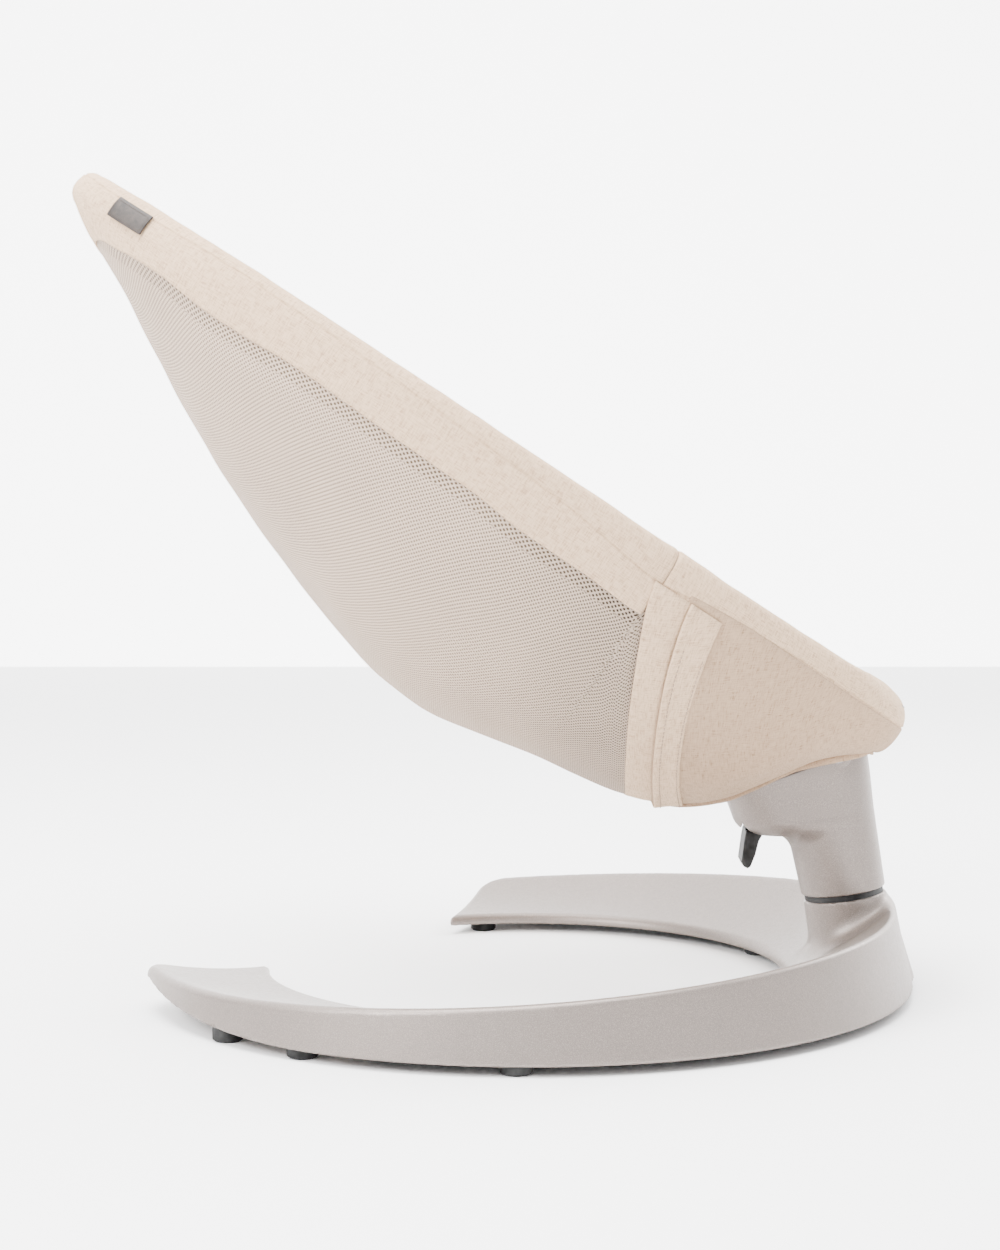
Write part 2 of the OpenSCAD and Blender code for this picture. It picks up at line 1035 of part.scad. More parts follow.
module closure_flap() {
    color(linen)
        in_rim()
            fabric_shell(
                function(f) split_s(f) - 34,
                function(f) split_s(f) - 4,
                steps_to(4), 32, cloth_t / 2 + 2.4, cloth_t / 2 + cloth_gap
            );
}

liner_out = -cloth_t / 2 - 1.5;

module padded_liner() {
    color(linen)
        in_rim()
            fabric_shell(
                function(f) 178,
                function(f) 758,
                steps_to(20, 1.15), 24, liner_out, liner_out - liner_t
            );
}

// Leather tag on the near side of the rim, close to the head
tag_turn = 56.6;

module label_tag() {
    color([0.24, 0.18, 0.15])
        in_rim()
            translate([widest_s, -side_c, 0])
                rotate([0, 0, tag_turn])
                    translate([side_r + sleeve_r + 0.4, -20, -9])
                        cube([1.4, 40, 17]);
}

// ---------- harness ----------

// A flat strap through the points, w wide across the direction side
module ribbon(points, side, w, t) {
    n = len(points);
    rings = [
        for (i = [0 : n - 1])
            let (
                along = points[min(n - 1, i + 1)] - points[max(0, i - 1)],
                up = cross(along, side) / norm(cross(along, side)),
                across = cross(up, along) / norm(cross(up, along))
            )
                each [
                    points[i] - across * w / 2 - up * t / 2,
                    points[i] + across * w / 2 - up * t / 2,
                    points[i] + across * w / 2 + up * t / 2,
                    points[i] - across * w / 2 + up * t / 2
                ]
    ];
    walls = [
        for (i = [0 : n - 2], j = [0 : 3])
            let (a = 4 * i + j, b = 4 * i + (j + 1) % 4)
                each [[a, b, b + 4], [a, b + 4, a + 4]]
    ];
    z = 4 * (n - 1);
    polyhedron(rings, concat(walls, [[3, 2, 1], [3, 1, 0], [z, z + 1, z + 2], [z, z + 2, z + 3]]));
}

strap_t = 1.6;
strap_w = 25;
buckle_s = 318;
buckle_n = -128;

module crotch_strap() {
    color(webbing)
        in_rim()
            ribbon(
                [[236, 0, -177], [240, 0, -168], [252, 0, -157], [268, 0, -146], [287, 0, -135.5]],
                [0, 1, 0], strap_w, strap_t
            );
}

module waist_strap(side) {
    in_rim()
        ribbon(
            [
                [372, side * 150, -116], [370, side * 142, -121], [364, side * 126, -128],
                [355, side * 108, -132], [344, side * 88, -133], [333, side * 66, -131],
                [325, side * 46, -129.4]
            ],
            [1, 0, 0.2], strap_w, strap_t
        );
}

module waist_strap_left() {
    color(webbing)
        waist_strap(1);
}

module waist_strap_right() {
    color(webbing)
        waist_strap(-1);
}

module strap_adjusters() {
    color(dark)
        in_rim()
            for (side = [-1, 1])
                translate([350, side * 97, buckle_n - 4.4])
                    rotate([-side * 11.6, 0, side * 62])
                        difference() {
                            translate([-14, -17, -4.8])
                                cube([28, 34, 9.6]);
                            translate([-20, -13.9, -3.7])
                                cube([40, 27.8, 7.4]);
                        }
}

module in_buckle() {
    in_rim()
        translate([buckle_s, 0, buckle_n])
            children();
}

module buckle_housing() {
    color(dark)
        in_buckle()
            difference() {
                hull()
                    for (x = [-22, 18], y = [-19, 19])
                        translate([x, y, -9])
                            cylinder(r = 9, h = 16, $fn = 32);
                // Well of the release button
                translate([0, 0, 0.5])
                    cylinder(r = 11, h = 10);
                // Slot that takes the tongues
                translate([-2, -40, -5])
                    cube([22, 80, 4.5]);
                // Slot of the crotch strap
                translate([-40, -14, -8.4])
                    cube([20, 28, 4.6]);
            }
}

module buckle_tongues() {
    color(steel)
        in_buckle()
            for (side = [-1, 1])
                scale([1, side, 1])
                    difference() {
                        union() {
                            translate([1, 9, -4])
                                cube([16, 31, 2.4]);
                            translate([-5, 40, -4])
                                cube([28, 4, 2.4]);
                        }
                        translate([9, 16, -6])
                            cylinder(r = 3, h = 8);
                    }
}

module buckle_button() {
    color([0.45, 0.12, 0.10])
        in_buckle()
            translate([0, 0, 4])
                cylinder(r = 10.7, h = 4.4);
}

module buckle_spring() {
    color(steel)
        in_buckle()
            for (i = [0 : 1])
                translate([0, 0, 1.4 + i * 1.8])
                    rotate_extrude()
                        translate([5, 0])
                            circle(r = 0.6, $fn = 16);
}

base_ring();
base_underplate();
foot_pads();
pivot_shaft();
shaft_bolt();
bearing_inner_races();
bearing_balls();
bearing_spacer();
seam_seal();
shaft_washer();
shaft_nut();
column_housing();
bearing_outer_races();
bearing_circlip();
recline_pin();
recline_pin_clip();
lever_bracket();
lever_pin();
lever_spring();
recline_lever();
sway_lock_slider();
sway_brake_shoe();
seat_hub();
hub_bushings();
tube_clamp();
clamp_screws();
lower_hoop();
upper_hoop();
joint_plugs();
snap_button_left();
snap_button_right();
snap_springs();
rim_sleeve_lower();
rim_sleeve_upper();
mesh_sling();
foot_cover();
closure_flap();
padded_liner();
label_tag();
crotch_strap();
waist_strap_left();
waist_strap_right();
strap_adjusters();
buckle_housing();
buckle_tongues();
buckle_button();
buckle_spring();
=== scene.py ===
"""Bouncer seat: smooth castings, woven covers, mesh sling, padded liner and harness round the CAD frame."""
import json
import math

import bpy
import bmesh
import numpy as np
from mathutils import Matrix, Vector


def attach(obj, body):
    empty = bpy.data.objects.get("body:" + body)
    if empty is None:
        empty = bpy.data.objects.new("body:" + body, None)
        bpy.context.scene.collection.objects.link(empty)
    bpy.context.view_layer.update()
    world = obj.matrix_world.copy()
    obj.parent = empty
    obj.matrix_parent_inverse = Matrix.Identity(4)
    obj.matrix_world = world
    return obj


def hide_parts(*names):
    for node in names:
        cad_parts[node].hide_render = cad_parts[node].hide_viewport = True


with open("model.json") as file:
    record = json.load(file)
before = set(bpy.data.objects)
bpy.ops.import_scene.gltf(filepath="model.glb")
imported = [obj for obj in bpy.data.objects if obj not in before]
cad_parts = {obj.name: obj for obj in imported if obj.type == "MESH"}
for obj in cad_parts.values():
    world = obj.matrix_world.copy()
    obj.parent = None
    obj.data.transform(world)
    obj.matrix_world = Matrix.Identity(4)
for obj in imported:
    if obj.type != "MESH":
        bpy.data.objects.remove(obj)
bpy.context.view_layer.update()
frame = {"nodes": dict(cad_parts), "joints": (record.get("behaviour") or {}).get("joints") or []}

# ---------------------------------------------------------------- places
# Lengths are millimetres from the ring's centre on the floor; new_piece turns them into metres
JOINTS = {joint["name"]: joint for joint in frame["joints"]}
MM = 0.001
HINGE_X, HINGE_Z = 262.0, 205.0
SHIFT = JOINTS["recline"]["pos_m"][0] / MM - HINGE_X
SEAM_X = JOINTS["sway"]["pos_m"][0] / MM - SHIFT
SEAM_Z = JOINTS["sway"]["pos_m"][2] / MM
TILT = math.atan2(-JOINTS["sway"]["axis"][0], JOINTS["sway"]["axis"][2])
LEVER_X = JOINTS["lever_squeeze"]["pos_m"][0] / MM - SHIFT
LEVER_Z = JOINTS["lever_squeeze"]["pos_m"][2] / MM

# Floor ring
RING_R, RING_BAND, RING_H = 330.0, 108.0, 46.0
FLOOR_GAP, LIP_H, DRAFT = 7.0, 9.0, 0.24
NEAR_END, FAR_END = -165.0, 96.0

# Arm on the post
POST_R = 36.0
ARM_LEFT, ARM_LEFT_Z, ARM_SLOPE, ARM_R = 165.0, 166.0, math.radians(20), 39.5
POCKET_R, POCKET_FLOOR = 33.5, 138.0
POD_LEFT, POD_RIGHT, POD_FLOOR = 204, 254, 131.5
EAR_R, EAR_Y = 13.6, 31.5

# Rim of the seat: s runs from the foot tube to the head, n is square to the rim's plane
RIM_X, RIM_Z, RIM_SLOPE = 311.0, 233.0, math.radians(33.3)
RIM_LEN, HALF_W, WIDEST = 813.0, 200.0, 400.0
SIDE_C = 450.0
SIDE_R = SIDE_C + HALF_W
HEAD_R = (SIDE_R**2 - SIDE_C**2 - (RIM_LEN - WIDEST) ** 2) / (2 * (SIDE_R - RIM_LEN + WIDEST))
FOOT_R = (SIDE_R**2 - SIDE_C**2 - WIDEST**2) / (2 * (SIDE_R - WIDEST))
HEAD_TURN = math.atan2(SIDE_C, RIM_LEN - WIDEST - HEAD_R)
FOOT_TURN = math.atan2(SIDE_C, FOOT_R - WIDEST)
CROSS_S = 243.0
COVER_R = 13.6
WALL_TOP = -4.0
BOW = 0.88
KEEL = [
    (0, 34), (40, 73), (85, 142), (136, 181), (200, 196), (270, 208), (344, 216),
    (423, 201), (500, 174), (600, 128), (700, 76), (780, 36), (813, 24),
]


def rim_to_ring(s, y, n):
    """Rim coordinates to ring coordinates; y is to the near side."""
    c, k = math.cos(RIM_SLOPE), math.sin(RIM_SLOPE)
    s, y, n = np.broadcast_arrays(*[np.asarray(v, float) for v in (s, y, n)])
    return np.stack([RIM_X - c * s + k * n, -y, RIM_Z + k * s + c * n], -1)


def ring_to_rim(x, z):
    """s and n of ring coordinates x and z."""
    c, k = math.cos(RIM_SLOPE), math.sin(RIM_SLOPE)
    return (RIM_X - x) * c + (z - RIM_Z) * k, (x - RIM_X) * k + (z - RIM_Z) * c


def smooth_at(x, stations):
    """Smooth curve through (x, y) stations, flat outside them."""
    px, py = np.array(stations, float).T
    low = np.maximum(np.arange(len(px)) - 1, 0)
    high = np.minimum(np.arange(len(px)) + 1, len(px) - 1)
    slope = (py[high] - py[low]) / (px[high] - px[low])
    x = np.clip(x, px[0], px[-1])
    i = np.clip(np.searchsorted(px, x, side="right") - 1, 0, len(px) - 2)
    h = px[i + 1] - px[i]
    t = (x - px[i]) / h
    return (
        (2 * t**3 - 3 * t**2 + 1) * py[i] + (t**3 - 2 * t**2 + t) * slope[i] * h
        + (3 * t**2 - 2 * t**3) * py[i + 1] + (t**3 - t**2) * slope[i + 1] * h
    )


# ---------------------------------------------------------------- meshes
def lay_flat(mesh, uv):
    """Stores the map called flat, in metres for every vertex."""
    corner = np.zeros(len(mesh.loops), np.int32)
    mesh.loops.foreach_get("vertex_index", corner)
    layer = mesh.uv_layers.new(name="flat")
    layer.data.foreach_set("uv", np.asarray(uv, np.float32)[corner].ravel())


def new_piece(name, points, faces, material, body, uv=None, normals=None):
    """Adds a mesh from ring coordinates; uv is in metres for every point."""
    mesh = bpy.data.meshes.new(name)
    placed = (np.asarray(points, float) + [SHIFT, 0, 0]) * MM
    mesh.from_pydata(placed.tolist(), [], [list(map(int, f)) for f in faces])
    mesh.polygons.foreach_set("use_smooth", np.ones(len(mesh.polygons), bool))
    if uv is not None:
        lay_flat(mesh, uv)
    mesh.update()
    if normals is not None:
        mesh.normals_split_custom_set_from_vertices(normals.tolist())
    mesh.materials.append(material)
    piece = bpy.data.objects.new(name, mesh)
    bpy.context.scene.collection.objects.link(piece)
    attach(piece, body)
    return piece


def grid_faces(rows, cols, wrap=False):
    """Quads of a grid of rows x cols points; wrap joins the last row to the first."""
    i, j = np.meshgrid(np.arange(rows if wrap else rows - 1), np.arange(cols - 1), indexing="ij")
    a, b = i * cols + j, (i + 1) % rows * cols + j
    return np.stack([a, a + 1, b + 1, b], -1).reshape(-1, 4)


def thicken(piece, thickness, offset=-1.0):
    """Gives a sheet its thickness: inwards at -1, outwards at 1, both ways at 0."""
    shell = piece.modifiers.new("cloth", "SOLIDIFY")
    shell.thickness = thickness * MM
    shell.offset = offset
    shell.use_even_offset = False
    return piece


def surface_net(field, low, high, step):
    """Mesh of the surface where field is zero, negative inside; returns points, quads and normals."""
    axes = [np.arange(a, b + step, step) for a, b in zip(low, high)]
    value = field(*np.meshgrid(*axes, indexing="ij"))
    cells = np.array(value.shape) - 1
    total = np.zeros((cells.prod(), 3))
    count = np.zeros(cells.prod())
    quads = []
    for axis in range(3):
        b, c = (axis + 1) % 3, (axis + 2) % 3
        first = np.take(value, np.arange(value.shape[axis] - 1), axis)
        second = np.take(value, np.arange(1, value.shape[axis]), axis)
        spots = np.argwhere((first < 0) != (second < 0))
        here, there = first[tuple(spots.T)], second[tuple(spots.T)]
        place = spots.astype(float)
        place[:, axis] += here / (here - there)
        ring = []
        for step_b, step_c in ((0, 0), (1, 0), (1, 1), (0, 1)):
            cell = spots.copy()
            cell[:, b] -= step_b
            cell[:, c] -= step_c
            ok = ((cell >= 0) & (cell < cells)).all(1)
            flat = np.where(ok, np.ravel_multi_index(np.clip(cell, 0, cells - 1).T, cells), -1)
            ring.append(flat)
            for k in range(3):
                total[:, k] += np.bincount(flat[ok], place[ok, k], len(total))
            count += np.bincount(flat[ok], minlength=len(count))
        ring = np.stack(ring, 1)
        whole = (ring >= 0).all(1)
        quads.append(np.where((here < 0)[whole, None], ring[whole], ring[whole, ::-1]))
    used = count > 0
    number = np.cumsum(used) - 1
    points = total[used] / count[used, None] * step + np.array(low)
    for _ in range(4):
        slope, here = gradient(field, points)
        points -= np.clip(here / (slope**2).sum(1), -0.6 * step, 0.6 * step)[:, None] * slope
    slope, _ = gradient(field, points)
    return points, number[np.concatenate(quads)], slope / np.linalg.norm(slope, axis=1)[:, None]


def gradient(field, points, h=0.15):
    """Slope of the field at the points, and its value there."""
    slope = [(field(*(points + d).T) - field(*(points - d).T)) / (2 * h) for d in h * np.eye(3)]
    return np.stack(slope, 1) + 1e-12, field(*points.T)


def meet(a, b, r):
    """Intersection of two fields with its edge rounded by r."""
    return np.minimum(np.maximum(a, b), -r) + np.hypot(np.maximum(a + r, 0), np.maximum(b + r, 0))


def join(a, b, r):
    """Union of two fields with a fillet of radius r."""
    return np.maximum(np.minimum(a, b), r) - np.hypot(np.maximum(r - a, 0), np.maximum(r - b, 0))


def mix(a, b, t):
    return a + (b - a) * t


def ripples(points, seed, size, count=9):
    """Smooth noise of about one, from waves about size millimetres long."""
    rng = np.random.default_rng(seed)
    total = np.zeros(points.shape[:-1])
    for _ in range(count):
        way = rng.normal(size=3)
        way /= np.linalg.norm(way)
        length = size * rng.uniform(0.7, 1.5)
        total += np.sin(points @ way * 2 * np.pi / length + rng.uniform(0, 2 * np.pi))
    return total / math.sqrt(count / 2)


# ---------------------------------------------------------------- materials
class Graph:
    """A new material's nodes, with short calls for what the materials share."""

    def __init__(self, name):
        self.material = bpy.data.materials.new(name)
        self.material.use_nodes = True
        self.tree = self.material.node_tree
        self.shader = self.tree.nodes["Principled BSDF"]

    def add(self, kind, values=None, inputs=None, **settings):
        node = self.tree.nodes.new(kind)
        for key, value in settings.items():
            setattr(node, key, value)
        for key, value in (values or {}).items():
            node.inputs[key].default_value = value
        for key, source in (inputs or {}).items():
            self.tree.links.new(source, node.inputs[key])
        return node

    def put(self, socket, value):
        """Gives an input a number, a colour or the output of another node."""
        if isinstance(value, (int, float)):
            socket.default_value = value
        elif isinstance(value, tuple):
            socket.default_value = (*value, 1)
        else:
            self.tree.links.new(value, socket)

    def shade(self, values):
        for key, value in values.items():
            self.put(self.shader.inputs[key], value)

    def place(self):
        return self.add("ShaderNodeTexCoord").outputs["Object"]

    def flat(self):
        return self.add("ShaderNodeUVMap", uv_map="flat").outputs[0]

    def parts(self, source):
        return self.add("ShaderNodeSeparateXYZ", inputs={0: source}).outputs[:2]

    def math(self, operation, a, b=0.0, clamp=False):
        node = self.add("ShaderNodeMath", operation=operation, use_clamp=clamp)
        self.put(node.inputs[0], a)
        self.put(node.inputs[1], b)
        return node.outputs[0]

    def plus(self, a, b, clamp=False):
        return self.math("ADD", a, b, clamp)

    def minus(self, a, b):
        return self.math("SUBTRACT", a, b)

    def times(self, a, b):
        return self.math("MULTIPLY", a, b)

    def to_middle(self, source):
        """Distance from the middle of the cell, for cells one unit wide."""
        return self.math("ABSOLUTE", self.minus(self.math("FRACT", source), 0.5))

    def scaled(self, source, x, y, z=1.0, turn=0.0):
        node = self.add("ShaderNodeMapping", {"Scale": (x, y, z), "Rotation": (0, 0, turn)}, {"Vector": source})
        return node.outputs[0]

    def noise(self, source, scale, detail=2.0, rough=0.5):
        values = {"Scale": scale, "Detail": detail, "Roughness": rough}
        return self.add("ShaderNodeTexNoise", values, {"Vector": source}).outputs["Fac"]

    def span(self, source, first, last, low=0.0, high=1.0, kind="LINEAR"):
        """Maps low to high onto first to last."""
        values = {1: low, 2: high, 3: first, 4: last}
        return self.add("ShaderNodeMapRange", values, {0: source}, interpolation_type=kind).outputs[0]

    def ramp(self, source, stops):
        node = self.add("ShaderNodeValToRGB", inputs={"Fac": source})
        while len(node.color_ramp.elements) < len(stops):
            node.color_ramp.elements.new(0.5)
        for element, (place, colour) in zip(node.color_ramp.elements, stops):
            element.position = place
            element.color = (*colour, 1)
        return node.outputs["Color"]

    def blend(self, share, a, b, mode="MIX"):
        node = self.add("ShaderNodeMix", data_type="RGBA", blend_type=mode)
        for number, value in ((0, share), (6, a), (7, b)):
            self.put(node.inputs[number], value)
        return node.outputs[2]

    def bump(self, height, strength, distance):
        node = self.add("ShaderNodeBump", {"Strength": strength, "Distance": distance}, {"Height": height})
        return node.outputs["Normal"]


def mix_colour(a, b, t):
    return tuple(x + (y - x) * t for x, y in zip(a, b))


def darker(colour, share):
    return mix_colour(colour, (0, 0, 0), share)


def woven(name, light, dark, turn=0.0, nap=0.08, streak=1.0):
    """Plain-woven linen from the flat coordinates: slubby warp and weft with a heathered colour."""
    g = Graph(name)
    flat = g.scaled(g.flat(), 1, 1, 1, turn)
    warp = g.noise(g.scaled(flat, 1250, 120), 1.0, 3.0, 0.6)
    weft = g.noise(g.scaled(flat, 120, 1250), 1.0, 3.0, 0.6)
    slub = g.noise(g.scaled(flat, 420, 90), 1.0, 2.0, 0.5)
    cloudy = g.noise(g.scaled(flat, 9, 9), 1.0, 3.0, 0.6)
    heather = g.plus(g.times(warp, 0.5), g.times(weft, 0.5))
    heather = g.plus(g.times(heather, 0.86), g.times(slub, 0.14 * streak))
    colour = g.ramp(heather, [(0.37, dark), (0.50, mix_colour(dark, light, 0.74)), (0.62, light)])
    shade = g.ramp(cloudy, [(0.3, (0.93, 0.925, 0.92)), (0.7, (1, 1, 1))])
    threads = [g.math("SINE", g.times(part, 9500.0)) for part in g.parts(flat)]
    height = g.plus(g.times(g.plus(*threads), 0.22), g.times(heather, 1.5))
    g.shade({
        "Base Color": g.blend(1.0, colour, shade, "MULTIPLY"), "Normal": g.bump(height, 0.55, 0.00025),
        "Roughness": 0.92, "Specular IOR Level": 0.08,
        "Sheen Weight": nap, "Sheen Roughness": 0.55, "Sheen Tint": (1.0, 0.96, 0.92),
    })
    return g.material


def holes_in(g, along, down, pitch_u, pitch_v, low, high):
    """One inside the holes of a lattice of crossed rows, falling to nought from low to high."""
    share = []
    for lift in (0.0, 0.5):
        u = g.to_middle(g.plus(g.math("DIVIDE", along, pitch_u), lift))
        v = g.to_middle(g.plus(g.math("DIVIDE", down, pitch_v), lift))
        away = g.math("SQRT", g.plus(g.times(u, u), g.times(v, v)))
        share.append(g.times(g.plus(away, g.plus(u, v)), 0.5))
    return g.span(g.math("MINIMUM", *share), 1.0, 0.0, low, high, "SMOOTHSTEP")


def spacer_mesh(name, light, thread, hole_shade, deep):
    """Knitted spacer mesh: small round holes in crossed rows, with bigger ones along the upper edge; the holes,
    and the threads near them, are painted in shade colours for the shadowed lining behind.
    """
    g = Graph(name)
    flat = g.flat()
    along, down = g.parts(flat)
    small = holes_in(g, along, down, 0.0040, 0.0034, 0.17, 0.34)
    big = holes_in(g, along, down, 0.0052, 0.0040, 0.20, 0.34)
    edge = g.times(g.span(down, 1.0, 0.0, 0.0112, 0.0122), g.math("GREATER_THAN", down, 0.0))
    holes = g.plus(g.times(big, edge), g.times(small, g.minus(1.0, edge)))
    cloudy = g.noise(g.scaled(g.place(), 9, 9, 9), 1.0, 3.0, 0.6)
    # Painted shade: the holes darken where the lining stands off the mesh, near the foot panel, in random
    # clouds and under the band at the upper edge
    foot = g.span(along, 1.0, 0.0, 0.02, 0.16, "SMOOTHSTEP")
    gap_shade = g.plus(g.times(foot, 0.75), g.times(g.minus(cloudy, 0.45), 1.1))
    gap_shade = g.plus(gap_shade, g.times(edge, 0.35), clamp=True)
    body = g.ramp(g.noise(g.scaled(flat, 900, 900), 1.0, 2.0, 0.6), [(0.3, thread), (0.65, light)])
    # Painted shade also darkens the threads towards the deep shadow colour where the gap is large
    shaded_threads = g.blend(g.times(gap_shade, 0.26), body, deep)
    g.shade({
        "Base Color": g.blend(g.times(holes, 0.92), shaded_threads, g.blend(gap_shade, hole_shade, deep)),
        "Normal": g.bump(g.minus(1.0, holes), 0.7, 0.0006),
        "Roughness": 0.8, "Specular IOR Level": 0.1, "Sheen Weight": 0.06, "Sheen Roughness": 0.5,
    })
    return g.material


def satin_paint(name, base, warm):
    """Metallic satin lacquer with a fine flake and a faint orange peel."""
    g = Graph(name)
    place = g.place()
    flake, peel = g.noise(place, 1900.0, 1.0, 0.5), g.noise(place, 260.0, 2.0, 0.5)
    colour = g.ramp(flake, [(0.30, darker(base, 0.16)), (0.52, base), (0.72, warm)])
    tint = g.ramp(g.noise(place, 14.0, 3.0, 0.5), [(0.3, (0.965, 0.96, 0.955)), (0.7, (1, 1, 1))])
    g.shade({
        "Base Color": g.blend(1.0, colour, tint, "MULTIPLY"),
        "Normal": g.bump(g.plus(g.times(flake, 0.3), peel), 0.10, 0.0004),
        "Roughness": g.span(peel, 0.40, 0.50, 0.3, 0.7),
        "Metallic": 0.62, "Coat Weight": 0.12, "Coat Roughness": 0.35,
    })
    return g.material


def moulded(name, colour, roughness, grain=700.0, depth=0.12, shine=0.12):
    """Moulded plastic or rubber with a spark-eroded grain and worn, lighter high spots."""
    g = Graph(name)
    place = g.place()
    fine, wide = g.noise(place, grain, 2.0, 0.6), g.noise(place, 35.0, 3.0, 0.6)
    g.shade({
        "Base Color": g.ramp(wide, [(0.35, darker(colour, 0.18)), (0.7, mix_colour(colour, (1, 1, 1), 0.05))]),
        "Normal": g.bump(fine, depth, 0.0003),
        "Roughness": g.span(fine, roughness - 0.06, roughness + 0.06), "Specular IOR Level": shine,
    })
    return g.material


def drawn_metal(name, colour, roughness):
    """Turned or drawn metal with fine lines round the part."""
    g = Graph(name)
    lines = g.noise(g.scaled(g.place(), 60, 60, 2600), 1.0, 2.0, 0.6)
    g.shade({
        "Base Color": g.ramp(lines, [(0.3, darker(colour, 0.15)), (0.7, colour)]),
        "Normal": g.bump(lines, 0.06, 0.0002),
        "Roughness": g.span(lines, roughness - 0.08, roughness + 0.08), "Metallic": 1.0,
    })
    return g.material


def leather(name, colour):
    """Dark tag leather: pebbled grain with worn, paler peaks."""
    g = Graph(name)
    place = g.place()
    pebble = g.add("ShaderNodeTexVoronoi", {"Scale": 1500.0}, {"Vector": place}).outputs["Distance"]
    peaks = mix_colour(colour, (0.2, 0.14, 0.10), 0.12)
    g.shade({
        "Base Color": g.ramp(g.noise(place, 160.0, 4.0, 0.6), [(0.35, darker(colour, 0.3)), (0.75, peaks)]),
        "Normal": g.bump(pebble, 0.35, 0.0003), "Roughness": 0.55,
    })
    return g.material


def webbing_weave(name, colour):
    """Seat-belt webbing: a herringbone rib along the strap."""
    g = Graph(name)
    flat = g.flat()
    along, across = g.parts(flat)
    zigzag = g.to_middle(g.times(across, 160.0))
    rib = g.math("SINE", g.times(g.plus(g.times(along, 700.0), g.times(zigzag, 3.0)), 6.28))
    tone = g.noise(g.scaled(flat, 1800, 300), 1.0, 2.0, 0.6)
    g.shade({
        "Base Color": g.ramp(tone, [(0.3, darker(colour, 0.3)), (0.7, colour)]),
        "Normal": g.bump(rib, 0.5, 0.0002), "Roughness": 0.7, "Sheen Weight": 0.2,
    })
    return g.material


LINEN = woven("linen", (0.66, 0.475, 0.315), (0.31, 0.195, 0.118))
# Painted shade: the foot panel's linen is a darker copy of the linen, turned for the bias cut, standing in for
# the shade on the panel that faces down and away from the light
LINEN_BIAS_SHADED = woven("linen_foot_shaded", (0.45, 0.312, 0.204), (0.21, 0.133, 0.082), turn=0.12, streak=1.15)
LINER = woven("liner_cotton", (0.60, 0.46, 0.34), (0.40, 0.29, 0.205), nap=0.12, streak=0.6)
# The last two colours are painted shade: the shadowed lining seen through the holes, and the deepest shadow
MESH = spacer_mesh(
    "spacer_mesh", (0.56, 0.435, 0.335), (0.40, 0.30, 0.225), (0.105, 0.070, 0.050), (0.010, 0.0075, 0.006),
)
PAINT = satin_paint("satin_champagne", (0.215, 0.182, 0.163), (0.31, 0.267, 0.24))
CAST = satin_paint("clamp_paint", (0.15, 0.13, 0.117), (0.21, 0.185, 0.165))
LEVER = moulded("lever_plastic", (0.011, 0.0105, 0.010), 0.5)
BLACK = moulded("black_rubber", (0.004, 0.004, 0.004), 0.6, 420.0)
# Near-black underplate: a plastic cover under the hollow casting, also made this dark to stand in for the
# shadow line under the ring's edge (painted shade)
UNDERPLATE_SHADOW = moulded("underplate_plastic_shadow", (0.009, 0.0085, 0.008), 0.6, 300.0, 0.3)
BUCKLE = moulded("buckle_plastic", (0.016, 0.0145, 0.0135), 0.38, 900.0)
BUTTON = moulded("button_plastic", (0.06, 0.047, 0.04), 0.35, 900.0)
BUSH = moulded("bush_plastic", (0.02, 0.018, 0.016), 0.4)
STEEL = drawn_metal("bright_steel", (0.30, 0.30, 0.305), 0.3)
TUBE = drawn_metal("tube_aluminium", (0.32, 0.315, 0.31), 0.36)
LEATHER = leather("tag_leather", (0.016, 0.0095, 0.007))
WEBBING = webbing_weave("harness_webbing", (0.105, 0.082, 0.065))
THREAD = woven("stitch_thread", (0.38, 0.285, 0.215), (0.24, 0.175, 0.13))
TAG_THREAD = woven("tag_thread", (0.07, 0.045, 0.033), (0.035, 0.022, 0.016))


def paint_nodes(material, *names):
    for name in names:
        piece = frame["nodes"][name]
        piece.data.materials.clear()
        piece.data.materials.append(material)


paint_nodes(PAINT, "base_ring", "column_housing", "seat_hub")
paint_nodes(CAST, "tube_clamp")
paint_nodes(UNDERPLATE_SHADOW, "base_underplate")
paint_nodes(BLACK, "foot_pads", "seam_seal", "sway_brake_shoe")
paint_nodes(
    STEEL, "pivot_shaft", "shaft_bolt", "bearing_inner_races", "bearing_balls", "bearing_spacer",
    "bearing_outer_races", "shaft_washer", "shaft_nut", "bearing_circlip", "recline_pin", "recline_pin_clip",
    "lever_bracket", "lever_pin", "lever_spring", "clamp_screws", "joint_plugs", "snap_button_left",
    "snap_button_right", "snap_springs", "buckle_tongues", "buckle_spring",
)
paint_nodes(TUBE, "lower_hoop", "upper_hoop")
paint_nodes(LEVER, "recline_lever", "sway_lock_slider")
paint_nodes(BUSH, "hub_bushings")
paint_nodes(BUCKLE, "buckle_housing", "strap_adjusters")
paint_nodes(BUTTON, "buckle_button")
paint_nodes(LINEN, "rim_sleeve_lower", "rim_sleeve_upper", "foot_cover", "closure_flap")
paint_nodes(MESH, "mesh_sling")
paint_nodes(LINER, "padded_liner")
paint_nodes(LEATHER, "label_tag")
paint_nodes(WEBBING, "crotch_strap", "waist_strap_left", "waist_strap_right")


# ---------------------------------------------------------------- castings
def along_post(x, y, z):
    """Distance up the sway axis and offsets from it."""
    dx, dz = x - SEAM_X, z - SEAM_Z
    c, k = math.cos(TILT), math.sin(TILT)
    return dz * c - dx * k, dx * c + dz * k, y


def end_plane(x, y, outer, inner, sign):
    """Distance past the upright plane through an end's outer and inner corner."""
    a, b = math.radians(outer), math.radians(inner)
    px, py = RING_R * math.cos(a), RING_R * math.sin(a)
    low_r = RING_R - RING_BAND + 12 * math.sin(b)
    dx, dy = low_r * math.cos(b) - px, low_r * math.sin(b) - py
    size = math.hypot(dx, dy)
    return sign * ((x - px) * dy - (y - py) * dx) / size


